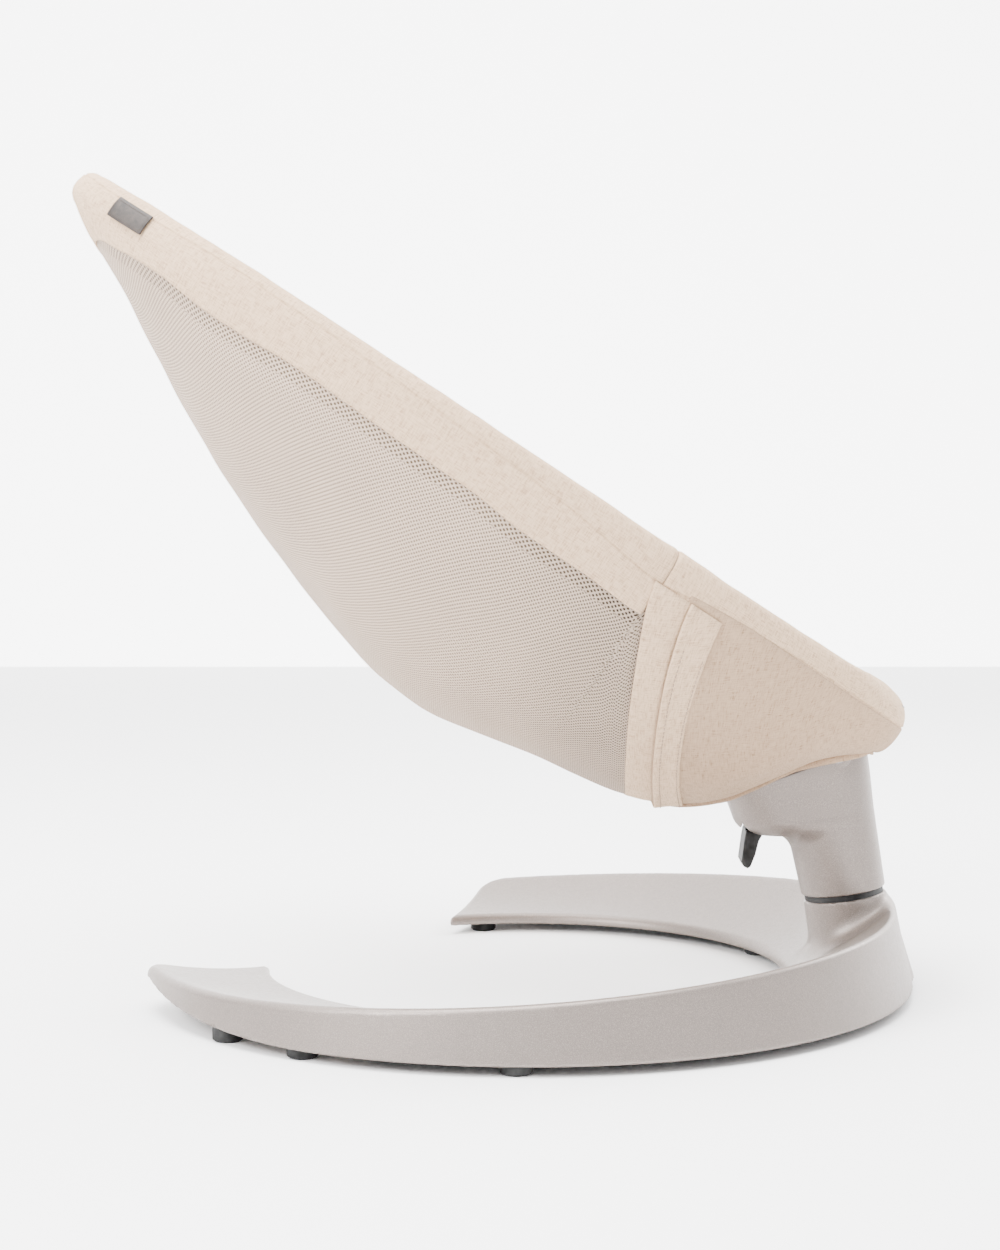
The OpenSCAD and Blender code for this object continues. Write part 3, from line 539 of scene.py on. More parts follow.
def ring_field(x, y, z):
    """C-shaped casting, wedge-like in section, with its rising near end and the post's stump."""
    r, a = np.hypot(x, y), np.degrees(np.arctan2(y, x))
    a = np.where(a > 145, a - 360, a)
    t = np.radians(a)
    top = RING_H + 19.3 * np.cos(t) + 2.5 * np.cos(2 * t) - 7.4 * np.sin(t)
    top = top + 4 * np.clip((-a - 130) / 30, 0, 1) ** 2 + 3.5 * np.clip((a - 30) / 60, 0, 1)
    lift = 20 * np.clip((-a - 118) / 42, 0, 1) ** 2
    inner = RING_R - RING_BAND + 12 * np.sin(t)
    edge_r = RING_R - DRAFT * (top - FLOOR_GAP - lift) - 9
    lip_top = FLOOR_GAP + LIP_H + 1.5
    span = edge_r - inner - 5
    g = (edge_r - r) / span
    sag = 10 * np.clip(g, 0, 1) * (1 - np.clip(g, 0, 1))
    slope = (top - 1 - lip_top) / span
    above = (z - mix(top - 1, lip_top, g) + sag) / np.sqrt(1 + slope**2)
    outside = (r - RING_R + DRAFT * (z - FLOOR_GAP - lift)) / math.hypot(1, DRAFT)
    below = FLOOR_GAP + 0.6 + lift * np.clip((r - inner) / (RING_R - inner), 0, 1) - z
    near = end_plane(x, y, NEAR_END, NEAR_END - 14, -1)
    far = end_plane(x, y, FAR_END, FAR_END + 12, 1)
    past = np.where(a < -90, near, np.where(a > 0, far, -99.0))
    plan = meet(meet(outside, past, 22.0), inner - r, 3.0)
    body = meet(plan, above, 5.5)
    up, fore, side = along_post(x, y, z)
    off = np.hypot(fore, side)
    stump_r = POST_R - 1 + 10 * np.clip((-up - 40) / 40, 0, 1.2)
    body = join(body, off - stump_r, 16.0)
    body = meet(body, below, 2.0)
    return np.where(off < 75, meet(body, up + 2.5, 1.2), body)


def arm_top(x):
    return ARM_LEFT_Z + (x - ARM_LEFT) * math.tan(ARM_SLOPE)


def pod_plan(x, y, z, radius, left, right):
    """Distance from an upright round-ended outline whose ends lean as z falls."""
    near_x = left + np.clip(180 - z, -30, 60) * 0.333
    far_x = right + np.clip(198 - z, -30, 80) * 0.15
    return np.hypot(x - np.clip(x, near_x, np.maximum(far_x, near_x + 1)), y) - radius


def column_field(x, y, z):
    """Barrel of the post with the arm's pod grown out of it, its pocket, slot and window."""
    up, fore, side = along_post(x, y, z)
    radius = POST_R + 2.2 * np.clip(up / 58, 0, 1)
    barrel = np.hypot(fore + 2.7 * np.clip(up / 58, 0, 2), side) - radius
    barrel = meet(barrel, up - 76, 8.0)
    pod_r = mix(38.0, ARM_R, np.clip((z - 141) / 45, 0, 1))
    pod = pod_plan(x, y, z, pod_r, POD_LEFT, POD_RIGHT)
    pod = meet(pod, POD_FLOOR - z, 13.0)
    crease = 0.8 + 14 * np.clip((256 - x) / 25, 0, 1) * np.clip((158 - z) / 20, 0, 1)
    body = join(pod, barrel, crease)
    ear = np.hypot(x - HINGE_X, z - HINGE_Z) - EAR_R
    for face in (-1, 1):
        body = np.minimum(body, meet(ear, np.abs(face * y - 35.7) - 3.3, 1.0))
    top = (z - arm_top(x)) * math.cos(ARM_SLOPE)
    top = np.where(np.abs(y) > EAR_Y, np.minimum(top, np.maximum(ear, EAR_Y - np.abs(y))), top)
    body = meet(body, top, 1.3)
    body = meet(body, 2.5 - up, 1.3)
    pocket = meet(pod_plan(x, y, z, POCKET_R - 0.6, POD_LEFT + 1, POD_RIGHT - 1), POCKET_FLOOR - z, 3.0)
    body = meet(body, -pocket, 1.0)
    room = np.maximum(np.abs(x - HINGE_X) - 13, np.abs(y) - 31.3)
    body = meet(body, -np.maximum(room, 192 - z), 1.0)
    slot = np.maximum(np.maximum(np.abs(x - 198) - 13.5, np.abs(y) - 18.5), z - 150)
    body = meet(body, -slot, 1.0)
    bore = np.maximum(np.hypot(fore, side) - 26, up - 78)
    body = meet(body, -bore, 1.0)
    window = np.maximum(np.maximum(np.abs(fore) - 8.2, np.abs(up - 25.3) - 9.3), 28 - side)
    body = meet(body, -window, 1.0)
    channel = np.maximum(np.maximum(np.abs(fore) - 6.8, np.abs(side - 30.9) - 3.3), up - 17)
    return np.maximum(body, -channel)


def outline_distance(px, pz, outline):
    """Signed distance to a closed polygon, negative inside."""
    best = np.full(px.shape, 1e9)
    inside = np.zeros(px.shape, bool)
    for (ax, az), (bx, bz) in zip(outline, outline[1:] + outline[:1]):
        ex, ez = bx - ax, bz - az
        t = np.clip(((px - ax) * ex + (pz - az) * ez) / (ex**2 + ez**2), 0, 1)
        best = np.minimum(best, np.hypot(px - ax - t * ex, pz - az - t * ez))
        if ez:
            inside ^= ((az > pz) != (bz > pz)) & (px < ax + (pz - az) * ex / ez)
    return np.where(inside, -best, best)


BLADE = [
    (-15, -8), (-16.5, -16), (-17.8, -26), (-19, -35), (-17, -39),
    (-13.5, -40.8), (-11, -39), (-7, -29), (-4, -17), (1, -8),
]
NECK = [(-15, -6), (-15, -9), (1, -9), (5, -3), (-5, 3)]
PAWL = [(-5, 2), (5, 3), (6.5, 11), (5.2, 13), (-1, 15.5), (-3, 12)]


def lever_field(x, y, z):
    """Finger trigger with its barrel and pawl."""
    px, pz = x - LEVER_X, z - LEVER_Z
    blade = meet(outline_distance(px, pz, BLADE), np.abs(y) - 17, 2.4)
    neck = meet(outline_distance(px, pz, NECK), np.abs(y) - 11, 1.0)
    pawl = meet(outline_distance(px, pz, PAWL), np.abs(y) - 8, 0.8)
    barrel = meet(np.hypot(px, pz) - 6, np.abs(y) - 11, 0.8)
    body = join(join(join(blade, neck, 1.5), barrel, 1.0), pawl, 1.0)
    return np.maximum(body, 2.6 - np.hypot(px, pz))


def casting(name, field, low, high, step, material, body, *nodes):
    points, quads, normals = surface_net(field, low, high, step)
    piece = new_piece(name, points, quads, material, body, normals=normals)
    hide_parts(*nodes)


casting(
    "base_casting", ring_field, (-334, -334, 4), (334, 334, 84), 2.6, PAINT, "base", "base_ring"
)
casting(
    "column_casting", column_field, (160, -44, 76), (316, 44, 222), 1.35, PAINT, "column", "column_housing"
)
casting(
    "recline_trigger", lever_field, (180, -20, 98), (214, 20, 162), 0.8, LEVER, "lever", "recline_lever"
)


# ---------------------------------------------------------------- fabric shapes
# Arc lengths round the rim's tube from the head's tip; CROSS_Q is the seam between the two covers
HEAD_ARC = HEAD_R * HEAD_TURN
SIDE_ARC = SIDE_R * (FOOT_TURN - HEAD_TURN)
HALF_RIM = HEAD_ARC + SIDE_ARC + FOOT_R * (math.pi - FOOT_TURN)
CROSS_Q = HEAD_ARC + SIDE_R * (math.acos((CROSS_S - WIDEST) / SIDE_R) - HEAD_TURN)

# By s: n of the cover's piped seam, n of its crown, and how far its outer band hangs
SEAM_HEIGHT = [
    (-14, -3), (100, -3), (208, -9), (241, -14), (282, -10), (343, -3), (450, 3), (640, 8), (760, 6), (827, 9),
]
ARCH_HEIGHT = [
    (-14, 17), (17, 20), (60, 18), (120, 16), (243, 15.5), (500, 16.5), (700, 16.5), (780, 15), (827, 14),
]
BAND = [
    (-14, 24), (241, 30), (243, 38), (299, 36), (355, 35), (394, 31), (470, 29), (565, 25.5),
    (654, 28), (703, 24), (760, 30), (790, 45), (813, 66), (827, 70),
]
# How far the stretched cloth is pulled up from the keel's plain solid
TAUT = [
    (0, 0), (85, 3), (136, 7), (200, 8), (270, 7.5), (344, 4), (423, 0),
    (500, -3), (600, -4), (700, -4), (780, -2), (813, 0),
]
INSIDE_CLOTH, LINER_TOP, LINER_DEPTH = -17, -14.5, 31.5
ARCH_AT, WALL_AT = 260, 380


def half_width(s, off):
    """Half width of the rim's outline, off millimetres outside the tube's centre line."""
    s = np.asarray(s, float)
    foot_end = FOOT_R + (FOOT_R + off) * math.cos(FOOT_TURN)
    head_end = RIM_LEN - HEAD_R + (HEAD_R + off) * math.cos(HEAD_TURN)
    foot = np.sqrt(np.maximum(0, (FOOT_R + off) ** 2 - (s - FOOT_R) ** 2))
    head = np.sqrt(np.maximum(0, (HEAD_R + off) ** 2 - (s - RIM_LEN + HEAD_R) ** 2))
    side = np.sqrt(np.maximum(0, (SIDE_R + off) ** 2 - (s - WIDEST) ** 2)) - SIDE_C
    return np.where(s < foot_end, foot, np.where(s > head_end, head, side))


def wall_depth(s):
    """How far the keel hangs below the rim's lower edge, rounded off at both tips."""
    toe = np.clip((2 - s) / (2 + COVER_R), 0, 1)
    crown = np.clip((s - 785) / (RIM_LEN + COVER_R - 785), 0, 1)
    depth = smooth_at(s, KEEL) + WALL_TOP - smooth_at(s, TAUT)
    return depth * (1 - toe**3) ** (1 / 3) * np.sqrt(1 - crown**2)


def lining_depth(s):
    return np.maximum(2, smooth_at(s, KEEL) - LINER_DEPTH)


def level(s, y, outline, top, depth):
    """n of the bowl's surface below the point (s, y)."""
    share = np.clip(np.abs(y) / np.maximum(half_width(s, outline), 1e-6), 0, 1)
    return top - depth(s) * (1 - share ** (2 / BOW)) ** (BOW / 2)


def wall_level(s, y):
    return level(s, y, COVER_R, WALL_TOP, wall_depth)


def bowl_point(s, f, outline, top, depth):
    """Rim coordinates of the bowl; f goes from 0 at the near edge round the keel to 180 degrees."""
    t = np.radians(f)
    y = half_width(s, outline) * np.sign(np.cos(t)) * np.abs(np.cos(t)) ** BOW
    return np.stack(np.broadcast_arrays(s, y, top - depth(s) * np.abs(np.sin(t)) ** BOW), -1)


def shell_point(s, f, off):
    """Outside of the bowl, moved off millimetres along its outward normal, in ring coordinates."""
    s, f = np.broadcast_arrays(np.asarray(s, float), np.asarray(f, float))
    s = np.clip(s, -COVER_R + 0.02, RIM_LEN + COVER_R - 0.02)

    def at(a, b):
        return bowl_point(a, b, COVER_R, WALL_TOP, wall_depth)

    s_low, s_high = np.maximum(s - 1, -COVER_R + 0.01), np.minimum(s + 1, RIM_LEN + COVER_R - 0.01)
    f_low, f_high = np.clip(f - 0.6, 0.5, 179.5), np.clip(f + 0.6, 0.5, 179.5)
    f_high = np.maximum(f_high, f_low + 0.3)
    normal = np.cross(at(s_high, f) - at(s_low, f), at(s, f_high) - at(s, f_low))
    normal /= np.linalg.norm(normal, axis=-1)[..., None] + 1e-9
    point = at(s, f) + np.asarray(off)[..., None] * normal
    return rim_to_ring(point[..., 0], point[..., 1], point[..., 2])


def rim_station(q):
    """Tube centre and outward direction at arc length q from the head's tip, positive on the near side."""
    a = np.minimum(np.abs(q), HALF_RIM)
    head, foot = a < HEAD_ARC, a > HEAD_ARC + SIDE_ARC
    foot_turn = FOOT_TURN + (a - HEAD_ARC - SIDE_ARC) / FOOT_R
    side_turn = HEAD_TURN + (a - HEAD_ARC) / SIDE_R
    turn = np.where(head, a / HEAD_R, np.where(foot, foot_turn, side_turn))
    radius = np.where(head, HEAD_R, np.where(foot, FOOT_R, SIDE_R))
    centre_s = np.where(head, RIM_LEN - HEAD_R, np.where(foot, FOOT_R, WIDEST))
    centre_y = np.where(head | foot, 0.0, -SIDE_C)
    side = np.where(q < 0, -1.0, 1.0)
    out_s, out_y = np.cos(turn), np.sin(turn)
    return centre_s + radius * out_s, side * (centre_y + radius * out_y), out_s, side * out_y


def rim_section(q):
    """Fine section of the cover at each q: outward offset, n and length along it.

    The arch over the tube starts at index ARCH_AT and the outer wall at WALL_AT.
    """
    s, y, out_s, out_y = (v[:, None] for v in rim_station(q))
    room = np.clip((60 - s) / 30, 0, 1)
    inner = COVER_R + 28.4 * room**2 * (3 - 2 * room)
    t = np.linspace(0, 1, ARCH_AT)[None]
    o_in = -(inner + 3.4) - 95 * t**3
    n_in = level(s + out_s * o_in, y + out_y * o_in, INSIDE_CLOTH, LINER_TOP, lining_depth)
    phi = np.linspace(math.pi, 0, WALL_AT - ARCH_AT)[None]
    mid, reach = (COVER_R - inner) / 2, (COVER_R + inner) / 2
    o_arch = mid + reach * np.cos(phi)
    n_arch = WALL_TOP + (smooth_at(s, ARCH_HEIGHT) - WALL_TOP) * np.sin(phi)
    o_out = COVER_R - 110 * t**3 + 0 * s
    n_out = wall_level(s + out_s * o_out, y + out_y * o_out)
    o = np.concatenate([o_in[:, ::-1], o_arch, o_out], 1)
    n = np.concatenate([n_in[:, ::-1], n_arch, n_out], 1)
    steps = np.hypot(np.diff(o, axis=1), np.diff(n, axis=1))
    return o, n, np.concatenate([np.zeros((len(q), 1)), np.cumsum(steps, 1)], 1)


def rim_point(q, section):
    """Ring coordinates of (outward offset, n) pairs at each q."""
    s, y, out_s, out_y = rim_station(q)
    o, n = section[..., 0], section[..., 1]
    return rim_to_ring(s + out_s * o, y + out_y * o, n)


def seam_at(q):
    """The section at every q, with the length along it to the cover's seam."""
    o, n, run = rim_section(q)
    height = smooth_at(rim_station(q)[0], SEAM_HEIGHT)
    top = (ARCH_AT + WALL_AT) // 2
    place = [np.interp(-height[i], -np.minimum.accumulate(n[i, top:]), run[i, top:]) for i in range(len(q))]
    return o, n, run, np.array(place)


def walk(points, axis):
    """Lengths of the steps along an axis of a grid of points, from zero at its first row or column."""
    return np.linalg.norm(np.diff(points, axis=axis, prepend=points.take([0], axis)), axis=-1)


def flat_uv(along, across):
    return np.stack(np.broadcast_arrays(along, across), -1).reshape(-1, 2) * MM


def rim_cover(name, q, tail, end):
    """Strip of the rim's cover, from inside the seat over the tube to the outside, with its piped seam."""
    o, n, run, seam = seam_at(q)
    s = rim_station(q)[0]
    start = run[:, ARCH_AT] - tail(s)
    stop = np.maximum(run[:, WALL_AT] + end(s), seam + 6)
    groove = np.array([-2.0, -1.3, -0.7, 0, 0.7, 1.3, 2.0])
    rows, lengths = [], []
    for i in range(len(q)):
        inside = np.linspace(start[i], seam[i] - 2.7, 30)
        outside = np.linspace(seam[i] + 2.7, stop[i], 14)
        length = np.concatenate([inside, seam[i] + groove, outside])
        po, pn = np.interp(length, run[i], o[i]), np.interp(length, run[i], n[i])
        do, dn = np.gradient(po, length), np.gradient(pn, length)
        size = np.hypot(do, dn) + 1e-9
        x = length - seam[i]
        push = 0.35 * np.exp(-(((np.abs(x) - 1.6) / 0.8) ** 2)) - 0.9 * np.exp(-((x / 0.6) ** 2))
        push += 0.20 * np.sin(2 * np.pi * q[i] / 6.5) * np.exp(-((x / 4.5) ** 2))
        push -= 1.0 * math.exp(-(((CROSS_Q - abs(q[i])) / 1.3) ** 2))
        rows.append(np.stack([po - dn / size * push, pn + do / size * push], -1))
        lengths.append(length - run[i, ARCH_AT])
    rows = np.array(rows)
    points = rim_point(np.broadcast_to(q[:, None], rows.shape[:2]), rows)
    lump = 0.35 * ripples(points, 5, 70) + 0.22 * ripples(points, 6, 24)
    points = points + lump[..., None] * np.array([0.2, 0.3, 0.6])
    uv = flat_uv(q[:, None], np.array(lengths))
    piece = new_piece(name, points.reshape(-1, 3), grid_faces(*rows.shape[:2]), LINEN, "seat", uv)
    thicken(piece, 1.4)
    return piece, float((stop - start).mean())


def patch(name, s_rows, f_cols, off, material, thickness, lumps=(), uv=None):
    """Grid over the bowl's outside: s_rows and f_cols are (rows, cols), with s falling down the rows."""
    points = shell_point(s_rows, f_cols, off)
    for seed, size, height, weight in lumps:
        normal = shell_point(s_rows, f_cols, np.asarray(off) + 1.0) - shell_point(s_rows, f_cols, off)
        points = points + (height * ripples(points, seed, size) * weight)[..., None] * normal
    if uv is None:
        along, across = np.cumsum(walk(points, 0), 0), np.cumsum(walk(points, 1), 1)
        middle = [across.shape[1] // 2]
        uv = flat_uv(along[:, middle], across - across[:, middle])
    piece = new_piece(name, points.reshape(-1, 3), grid_faces(*points.shape[:2]), material, "seat", uv)
    thicken(piece, thickness)
    return piece, points


def split_at(f):
    """s of the seam between the mesh and the foot panel."""
    return 236 - 84 * np.abs(np.sin(np.radians(f))) ** 1.4


def stitches(name, paths, material, pitch=4.2, length=2.8, width=0.75):
    """Rows of small thread loops along paths of (points, normals)."""
    verts, faces = [], []
    ring = [(-1, 0.0), (-0.6, 0.75), (0.6, 0.75), (1, 0.0)]
    lift = [-0.25, 0.32, 0.45, 0.32, -0.25]
    for points, normals in paths:
        run = running_length(points)
        for start in np.arange(1, run[-1] - length, pitch):
            stations = start + np.array([0, 0.18, 0.5, 0.82, 1]) * length
            centre = np.stack([np.interp(stations, run, points[:, k]) for k in range(3)], 1)
            up = np.stack([np.interp(stations, run, normals[:, k]) for k in range(3)], 1)
            across = np.cross(centre[-1] - centre[0], up[2])
            across /= np.linalg.norm(across) + 1e-9
            faces += tube_faces(len(lift), len(ring), len(verts))
            for c, u, h in zip(centre, up, lift):
                verts += [c + across * a * width / 2 + u * (h + b * width * 0.5) for a, b in ring]
    return new_piece(name, verts, faces, material, "seat", uv=np.array(verts)[:, [0, 2]] * MM)


def running_length(points):
    return np.concatenate([[0], np.cumsum(np.linalg.norm(np.diff(points, axis=0), axis=1))])


def tube_faces(rings, count, base=0):
    """Faces of a closed tube of rings of count points, whose first point is number base."""
    faces = []
    for i in range(rings - 1):
        for j in range(count):
            a, b = base + i * count + j, base + i * count + (j + 1) % count
            faces.append((a, b, b + count, a + count))
    faces.append(tuple(base + j for j in range(count - 1, -1, -1)))
    faces.append(tuple(base + (rings - 1) * count + j for j in range(count)))
    return faces


# ---------------------------------------------------------------- rim covers
def upper_tail(s):
    return 40 + 26 * np.clip((s - 770) / 40, 0, 1)


def lower_tail(s):
    return 40 - 32 * np.clip((60 - s) / 40, 0, 1)


def rim_covers():
    """The two covers, which meet at the cross seams; the lower one ends just past its piped seam."""
    q = np.linspace(-CROSS_Q, CROSS_Q, 521)
    upper, girth = rim_cover("rim_cover_upper", q, upper_tail, lambda s: smooth_at(s, BAND))
    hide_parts("rim_sleeve_upper")
    q = np.linspace(CROSS_Q + 0.4, 2 * HALF_RIM - CROSS_Q - 0.4, 261)
    q = np.where(q > HALF_RIM, q - 2 * HALF_RIM, q)
    lower, girth = rim_cover("rim_cover_lower", q, lower_tail, lambda s: 0 * s)
    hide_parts("rim_sleeve_lower")
    return upper


# ---------------------------------------------------------------- mesh sling
MESH_TOP_S, MESH_OVERLAP, MESH_MOST_F = 800, 8, 62


def mesh_sling():
    """The knitted panel from the head to the foot panel, tucked under the linen along its edges."""
    rows, cols = 221, 161
    across, down = np.linspace(0, 1, cols), np.linspace(0, 1, rows)[:, None]
    f_cols = np.broadcast_to(across[None] * 180, (rows, cols))
    most = math.sin(math.radians(MESH_MOST_F))
    for _ in range(4):
        s_rows = MESH_TOP_S + (split_at(f_cols) - MESH_TOP_S) * down
        drop = (smooth_at(s_rows, BAND) - MESH_OVERLAP) / np.maximum(wall_depth(s_rows), 1)
        first = np.degrees(np.arcsin(np.minimum(np.clip(drop, 0, 1) ** (1 / BOW), most)))
        f_cols = first + (180 - 2 * first) * across[None]
    points = shell_point(s_rows, f_cols, 0.0)
    width = walk(points, 1).sum(1)[:, None]
    side = np.cumsum(walk(points, 1), 1)
    back = walk(points, 0)
    away = np.cumsum(back[::-1], 0)[::-1]
    from_edge = np.minimum(side, width - side)
    fade = np.clip(from_edge / 60, 0, 1)
    tuck = -2.0 * np.exp(-((from_edge / 15) ** 2)) - 1.2 * np.exp(-((away / 12) ** 2))
    lumps = [(11, 150, 1.1, fade), (12, 60, 0.4, fade)]
    uv = flat_uv(away, from_edge - MESH_OVERLAP)
    panel, _ = patch("mesh_panel", s_rows, f_cols, tuck, MESH, 1.6, lumps, uv)
    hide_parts("mesh_sling")
    return panel


# ---------------------------------------------------------------- foot panel
# Opening for the arm in plan: a half ellipse, straight sides and a half circle; and z of its hem by x
OPEN_LEFT, OPEN_RIGHT, OPEN_R, OPEN_TIP = POD_LEFT, POD_RIGHT, 42, 86
HEM = [(100, 166), (163, 162), (218, 187), (296, 203), (309, 203)]
PANEL_OFF = 0.9


def seam_angle(s):
    """f at which the foot panel meets the rim's seam."""
    seam = np.minimum(smooth_at(s, SEAM_HEIGHT) + 1.5, WALL_TOP - 0.2)
    drop = np.clip((WALL_TOP - seam) / np.maximum(wall_depth(s), 1), 0, 1)
    return np.degrees(np.arcsin(np.minimum(drop ** (1 / BOW), math.sin(math.radians(55)))))


def in_opening(x, y):
    ellipse = OPEN_R * np.sqrt(np.maximum(0, 1 - ((x - OPEN_LEFT) / OPEN_TIP) ** 2))
    width = np.where(x < OPEN_LEFT, ellipse, float(OPEN_R))
    width = np.where(x > OPEN_RIGHT, np.sqrt(np.maximum(0, OPEN_R**2 - (x - OPEN_RIGHT) ** 2)), width)
    return np.abs(y) < width


def foot_halves():
    """Both halves of the foot panel, from the rim's seam down to the keel or the arm's opening."""
    f_scan = np.linspace(1, 90, 446)
    share = np.linspace(0, 1, 61)
    steps = np.linspace(0, 1, 150)[:, None]
    cols = np.broadcast_to(90 * share[None], (len(steps), len(share)))
    for _ in range(5):
        rows = (split_at(cols) - 20) + (-COVER_R + 0.2 - split_at(cols) + 20) * steps
        grid_s = np.broadcast_to(rows[:, -1][:, None], (len(steps), len(f_scan)))
        spot = shell_point(grid_s, f_scan[None], PANEL_OFF)
        hit = in_opening(spot[..., 0], spot[..., 1])
        start = seam_angle(rows[:, 0])
        last = np.maximum(np.where(hit.any(1), f_scan[np.argmax(hit, 1)], 90.0), start + 0.5)
        cols = start[:, None] + (last - start)[:, None] * share[None]
    drape = np.clip(np.sin(np.pi * share), 0, 1)[None] * np.clip(steps * 4, 0, 1)
    lumps = [(21, 110, 1.5, drape), (22, 42, 0.7, drape)]
    near, points = patch("foot_panel_near", rows, cols, PANEL_OFF, LINEN_BIAS_SHADED, 1.3, lumps)
    lumps = [(*lump[:3], drape[:, ::-1]) for lump in lumps]
    far, _ = patch("foot_panel_far", rows[:, ::-1], 180 - cols[:, ::-1], PANEL_OFF, LINEN_BIAS_SHADED, 1.3, lumps)
    return near, far, points


def opening_loop(half):
    """Plan of the opening's edge, half wide, with its tip one millimetre inside the cut."""
    a = np.linspace(-np.pi / 2, np.pi / 2, 60)
    straight = np.linspace(OPEN_LEFT, OPEN_RIGHT, 18)[1:-1]
    left = np.stack([OPEN_LEFT - (OPEN_TIP - 1) * np.cos(a), half * np.sin(a)], -1)
    far = np.stack([straight, np.full(16, half)], -1)
    right = np.stack([OPEN_RIGHT + half * np.cos(a[::-1]), half * np.sin(a[::-1])], -1)
    near = np.stack([straight[::-1], np.full(16, -half)], -1)
    return np.concatenate([left, far, right, near])


def foot_hem():
    """Double hem hanging from the opening's edge, folded up outside at its bottom."""
    loop = opening_loop(OPEN_R - 0.2)
    low_z, high_z = np.full(len(loop), 60.0), np.full(len(loop), 262.0)
    for _ in range(40):
        z = (low_z + high_z) / 2
        s, n = ring_to_rim(loop[:, 0], z)
        under = n < wall_level(s, loop[:, 1]) - 0.6
        low_z, high_z = np.where(under, z, low_z), np.where(under, high_z, z)
    top, bottom = low_z + 1.0, np.minimum(low_z - 3.0, smooth_at(loop[:, 0], HEM))
    outward = np.roll(loop, -1, 0) - np.roll(loop, 1, 0)
    outward = np.stack([outward[:, 1], -outward[:, 0]], -1)
    middle = np.array([(OPEN_LEFT + OPEN_RIGHT) / 2, 0.0])
    outward *= np.sign(((loop - middle) * outward).sum(1))[:, None]
    outward /= np.linalg.norm(outward, axis=1)[:, None]
    waves = 0.5 * np.sin(np.arange(len(loop)) * 2 * np.pi / len(loop) * 9)
    fold = [
        (0, -1.0), (0.12, -0.2), (0.5, 0.0), (0.9, 0.1), (1.0, 0.5),
        (1.0, 1.6), (0.9, 2.1), (0.5, 2.0), (0.12, 1.6),
    ]
    skirt = np.stack([
        np.column_stack([loop + outward * (out + waves * down)[:, None], top + (bottom - top) * down])
        for down, out in fold
    ], 1)
    round_it = np.cumsum(np.linalg.norm(loop - np.roll(loop, 1, 0), axis=1))
    uv = flat_uv(round_it[:, None], np.arange(len(fold))[None] * 3.0)
    faces = grid_faces(*skirt.shape[:2], wrap=True)
    hem = new_piece("foot_panel_hem", skirt.reshape(-1, 3), faces, LINEN_BIAS_SHADED, "seat", uv)
    return thicken(hem, 0.8, 0.0)


# Offsets in s from the split, and heights off the bowl, across the two linen strips
EDGE_S, EDGE_OVERLAP_S = [3, 2, 0, -4, -9, -14, -20, -27.0], [8, 8, 8, 4, 0, 0, 0, 0]
EDGE_OFF = [-0.4, 0.9, 1.1, 0.9, 0.9, 0.9, 0.8, 0.4]
FLAP_S = [0.0, 0.6, 1.8, 4, 8, 13, 18, 23, 27, 29.5, 30.5]
FLAP_OFF = [3.6, 4.8, 5.2, 4.9, 4.2, 3.6, 3.2, 3.0, 2.9, 2.5, 1.3]
FLAP_START = 22
SEAM_ROWS = (4, 8)


def column(values):
    return np.array(values, float)[:, None]


def foot_strips():
    """The linen band beside the mesh and the closure flap over it, with the flap's topstitching."""
    f = np.linspace(2, 178, 121)[None]
    from_rim = np.minimum(f, 180 - f)
    overlap = np.exp(-((from_rim / 14) ** 2))
    rows = split_at(f) + column(EDGE_S) + column(EDGE_OVERLAP_S) * overlap
    off = column(EDGE_OFF) + 1.1 * overlap + 0 * rows
    band, _ = patch("mesh_edge_band", rows, np.broadcast_to(f, rows.shape), off, LINEN, 1.2)
    width = 0.72 + 0.28 * np.exp(-((from_rim / 30) ** 2))
    rows = split_at(f) - FLAP_START - column(FLAP_S) * width
    off = column(FLAP_OFF) + 0.5 * np.sin(f * 0.17)
    first = seam_angle(rows[5])[None]
    cols = np.clip(np.broadcast_to(f, rows.shape), first, 180 - first)
    flap, points = patch("flap", rows, cols, off, LINEN, 1.3, [(31, 40, 0.35, 1.0)])
    seams = []
    for row in SEAM_ROWS:
        at = shell_point(rows[row], f[0], off[row] + 0.1)
        up = shell_point(rows[row], f[0], off[row] + 1.1) - at
        seams.append((at[6:-6], up[6:-6]))
    girth = float(np.linalg.norm(np.diff(points[5], axis=0), axis=1).sum()) * MM
    return band, flap, stitches("flap_stitches", seams, THREAD), girth


def foot_panel(mesh_panel):
    near, far, points = foot_halves()
    hem = foot_hem()
    band, flap, thread, girth = foot_strips()
    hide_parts("foot_cover")
    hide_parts("closure_flap")


FOOT_KEEL = [(40, 8), (60, 48), (90, 92), (130, 135), (178, 172), (200, 178.5)]


def foot_lining():
    """Lining of the foot well, seen from above; its flat area is a rough share of the rectangle."""
    rows, cols = 60, 90
    s, f = np.linspace(200, 40, rows)[:, None], np.linspace(4, 176, cols)[None]
    points = bowl_point(s, f, -16, -10, lambda s: smooth_at(s, FOOT_KEEL) - 8)
    points = points + (0.8 * ripples(points, 41, 60))[..., None] * np.array([0, 0, 1.0])
    along, side = np.cumsum(walk(points, 0), 0), np.cumsum(walk(points, 1), 1)
    placed = rim_to_ring(points[..., 0], points[..., 1], points[..., 2]).reshape(-1, 3)
    faces = grid_faces(rows, cols)[:, ::-1]
    lining = new_piece("foot_lining", placed, faces, LINER, "seat", flat_uv(along, side))
    thicken(lining, 1.5)


# ---------------------------------------------------------------- padded liner
PAD_FACE = -9.5  # n from the wall to the middle of the liner
PAD_SWELL, PAD_BACK_SWELL = 0.006, 0.0008
CHANNEL_PITCH, CHANNEL_W = 62, 4.2


def of_vertices(mesh, name):
    flat = np.zeros(len(mesh.vertices) * 3)
    mesh.vertices.foreach_get(name, flat)
    return flat.reshape(-1, 3)


def store(mesh, points):
    mesh.vertices.foreach_set("co", points.ravel())
    mesh.update()


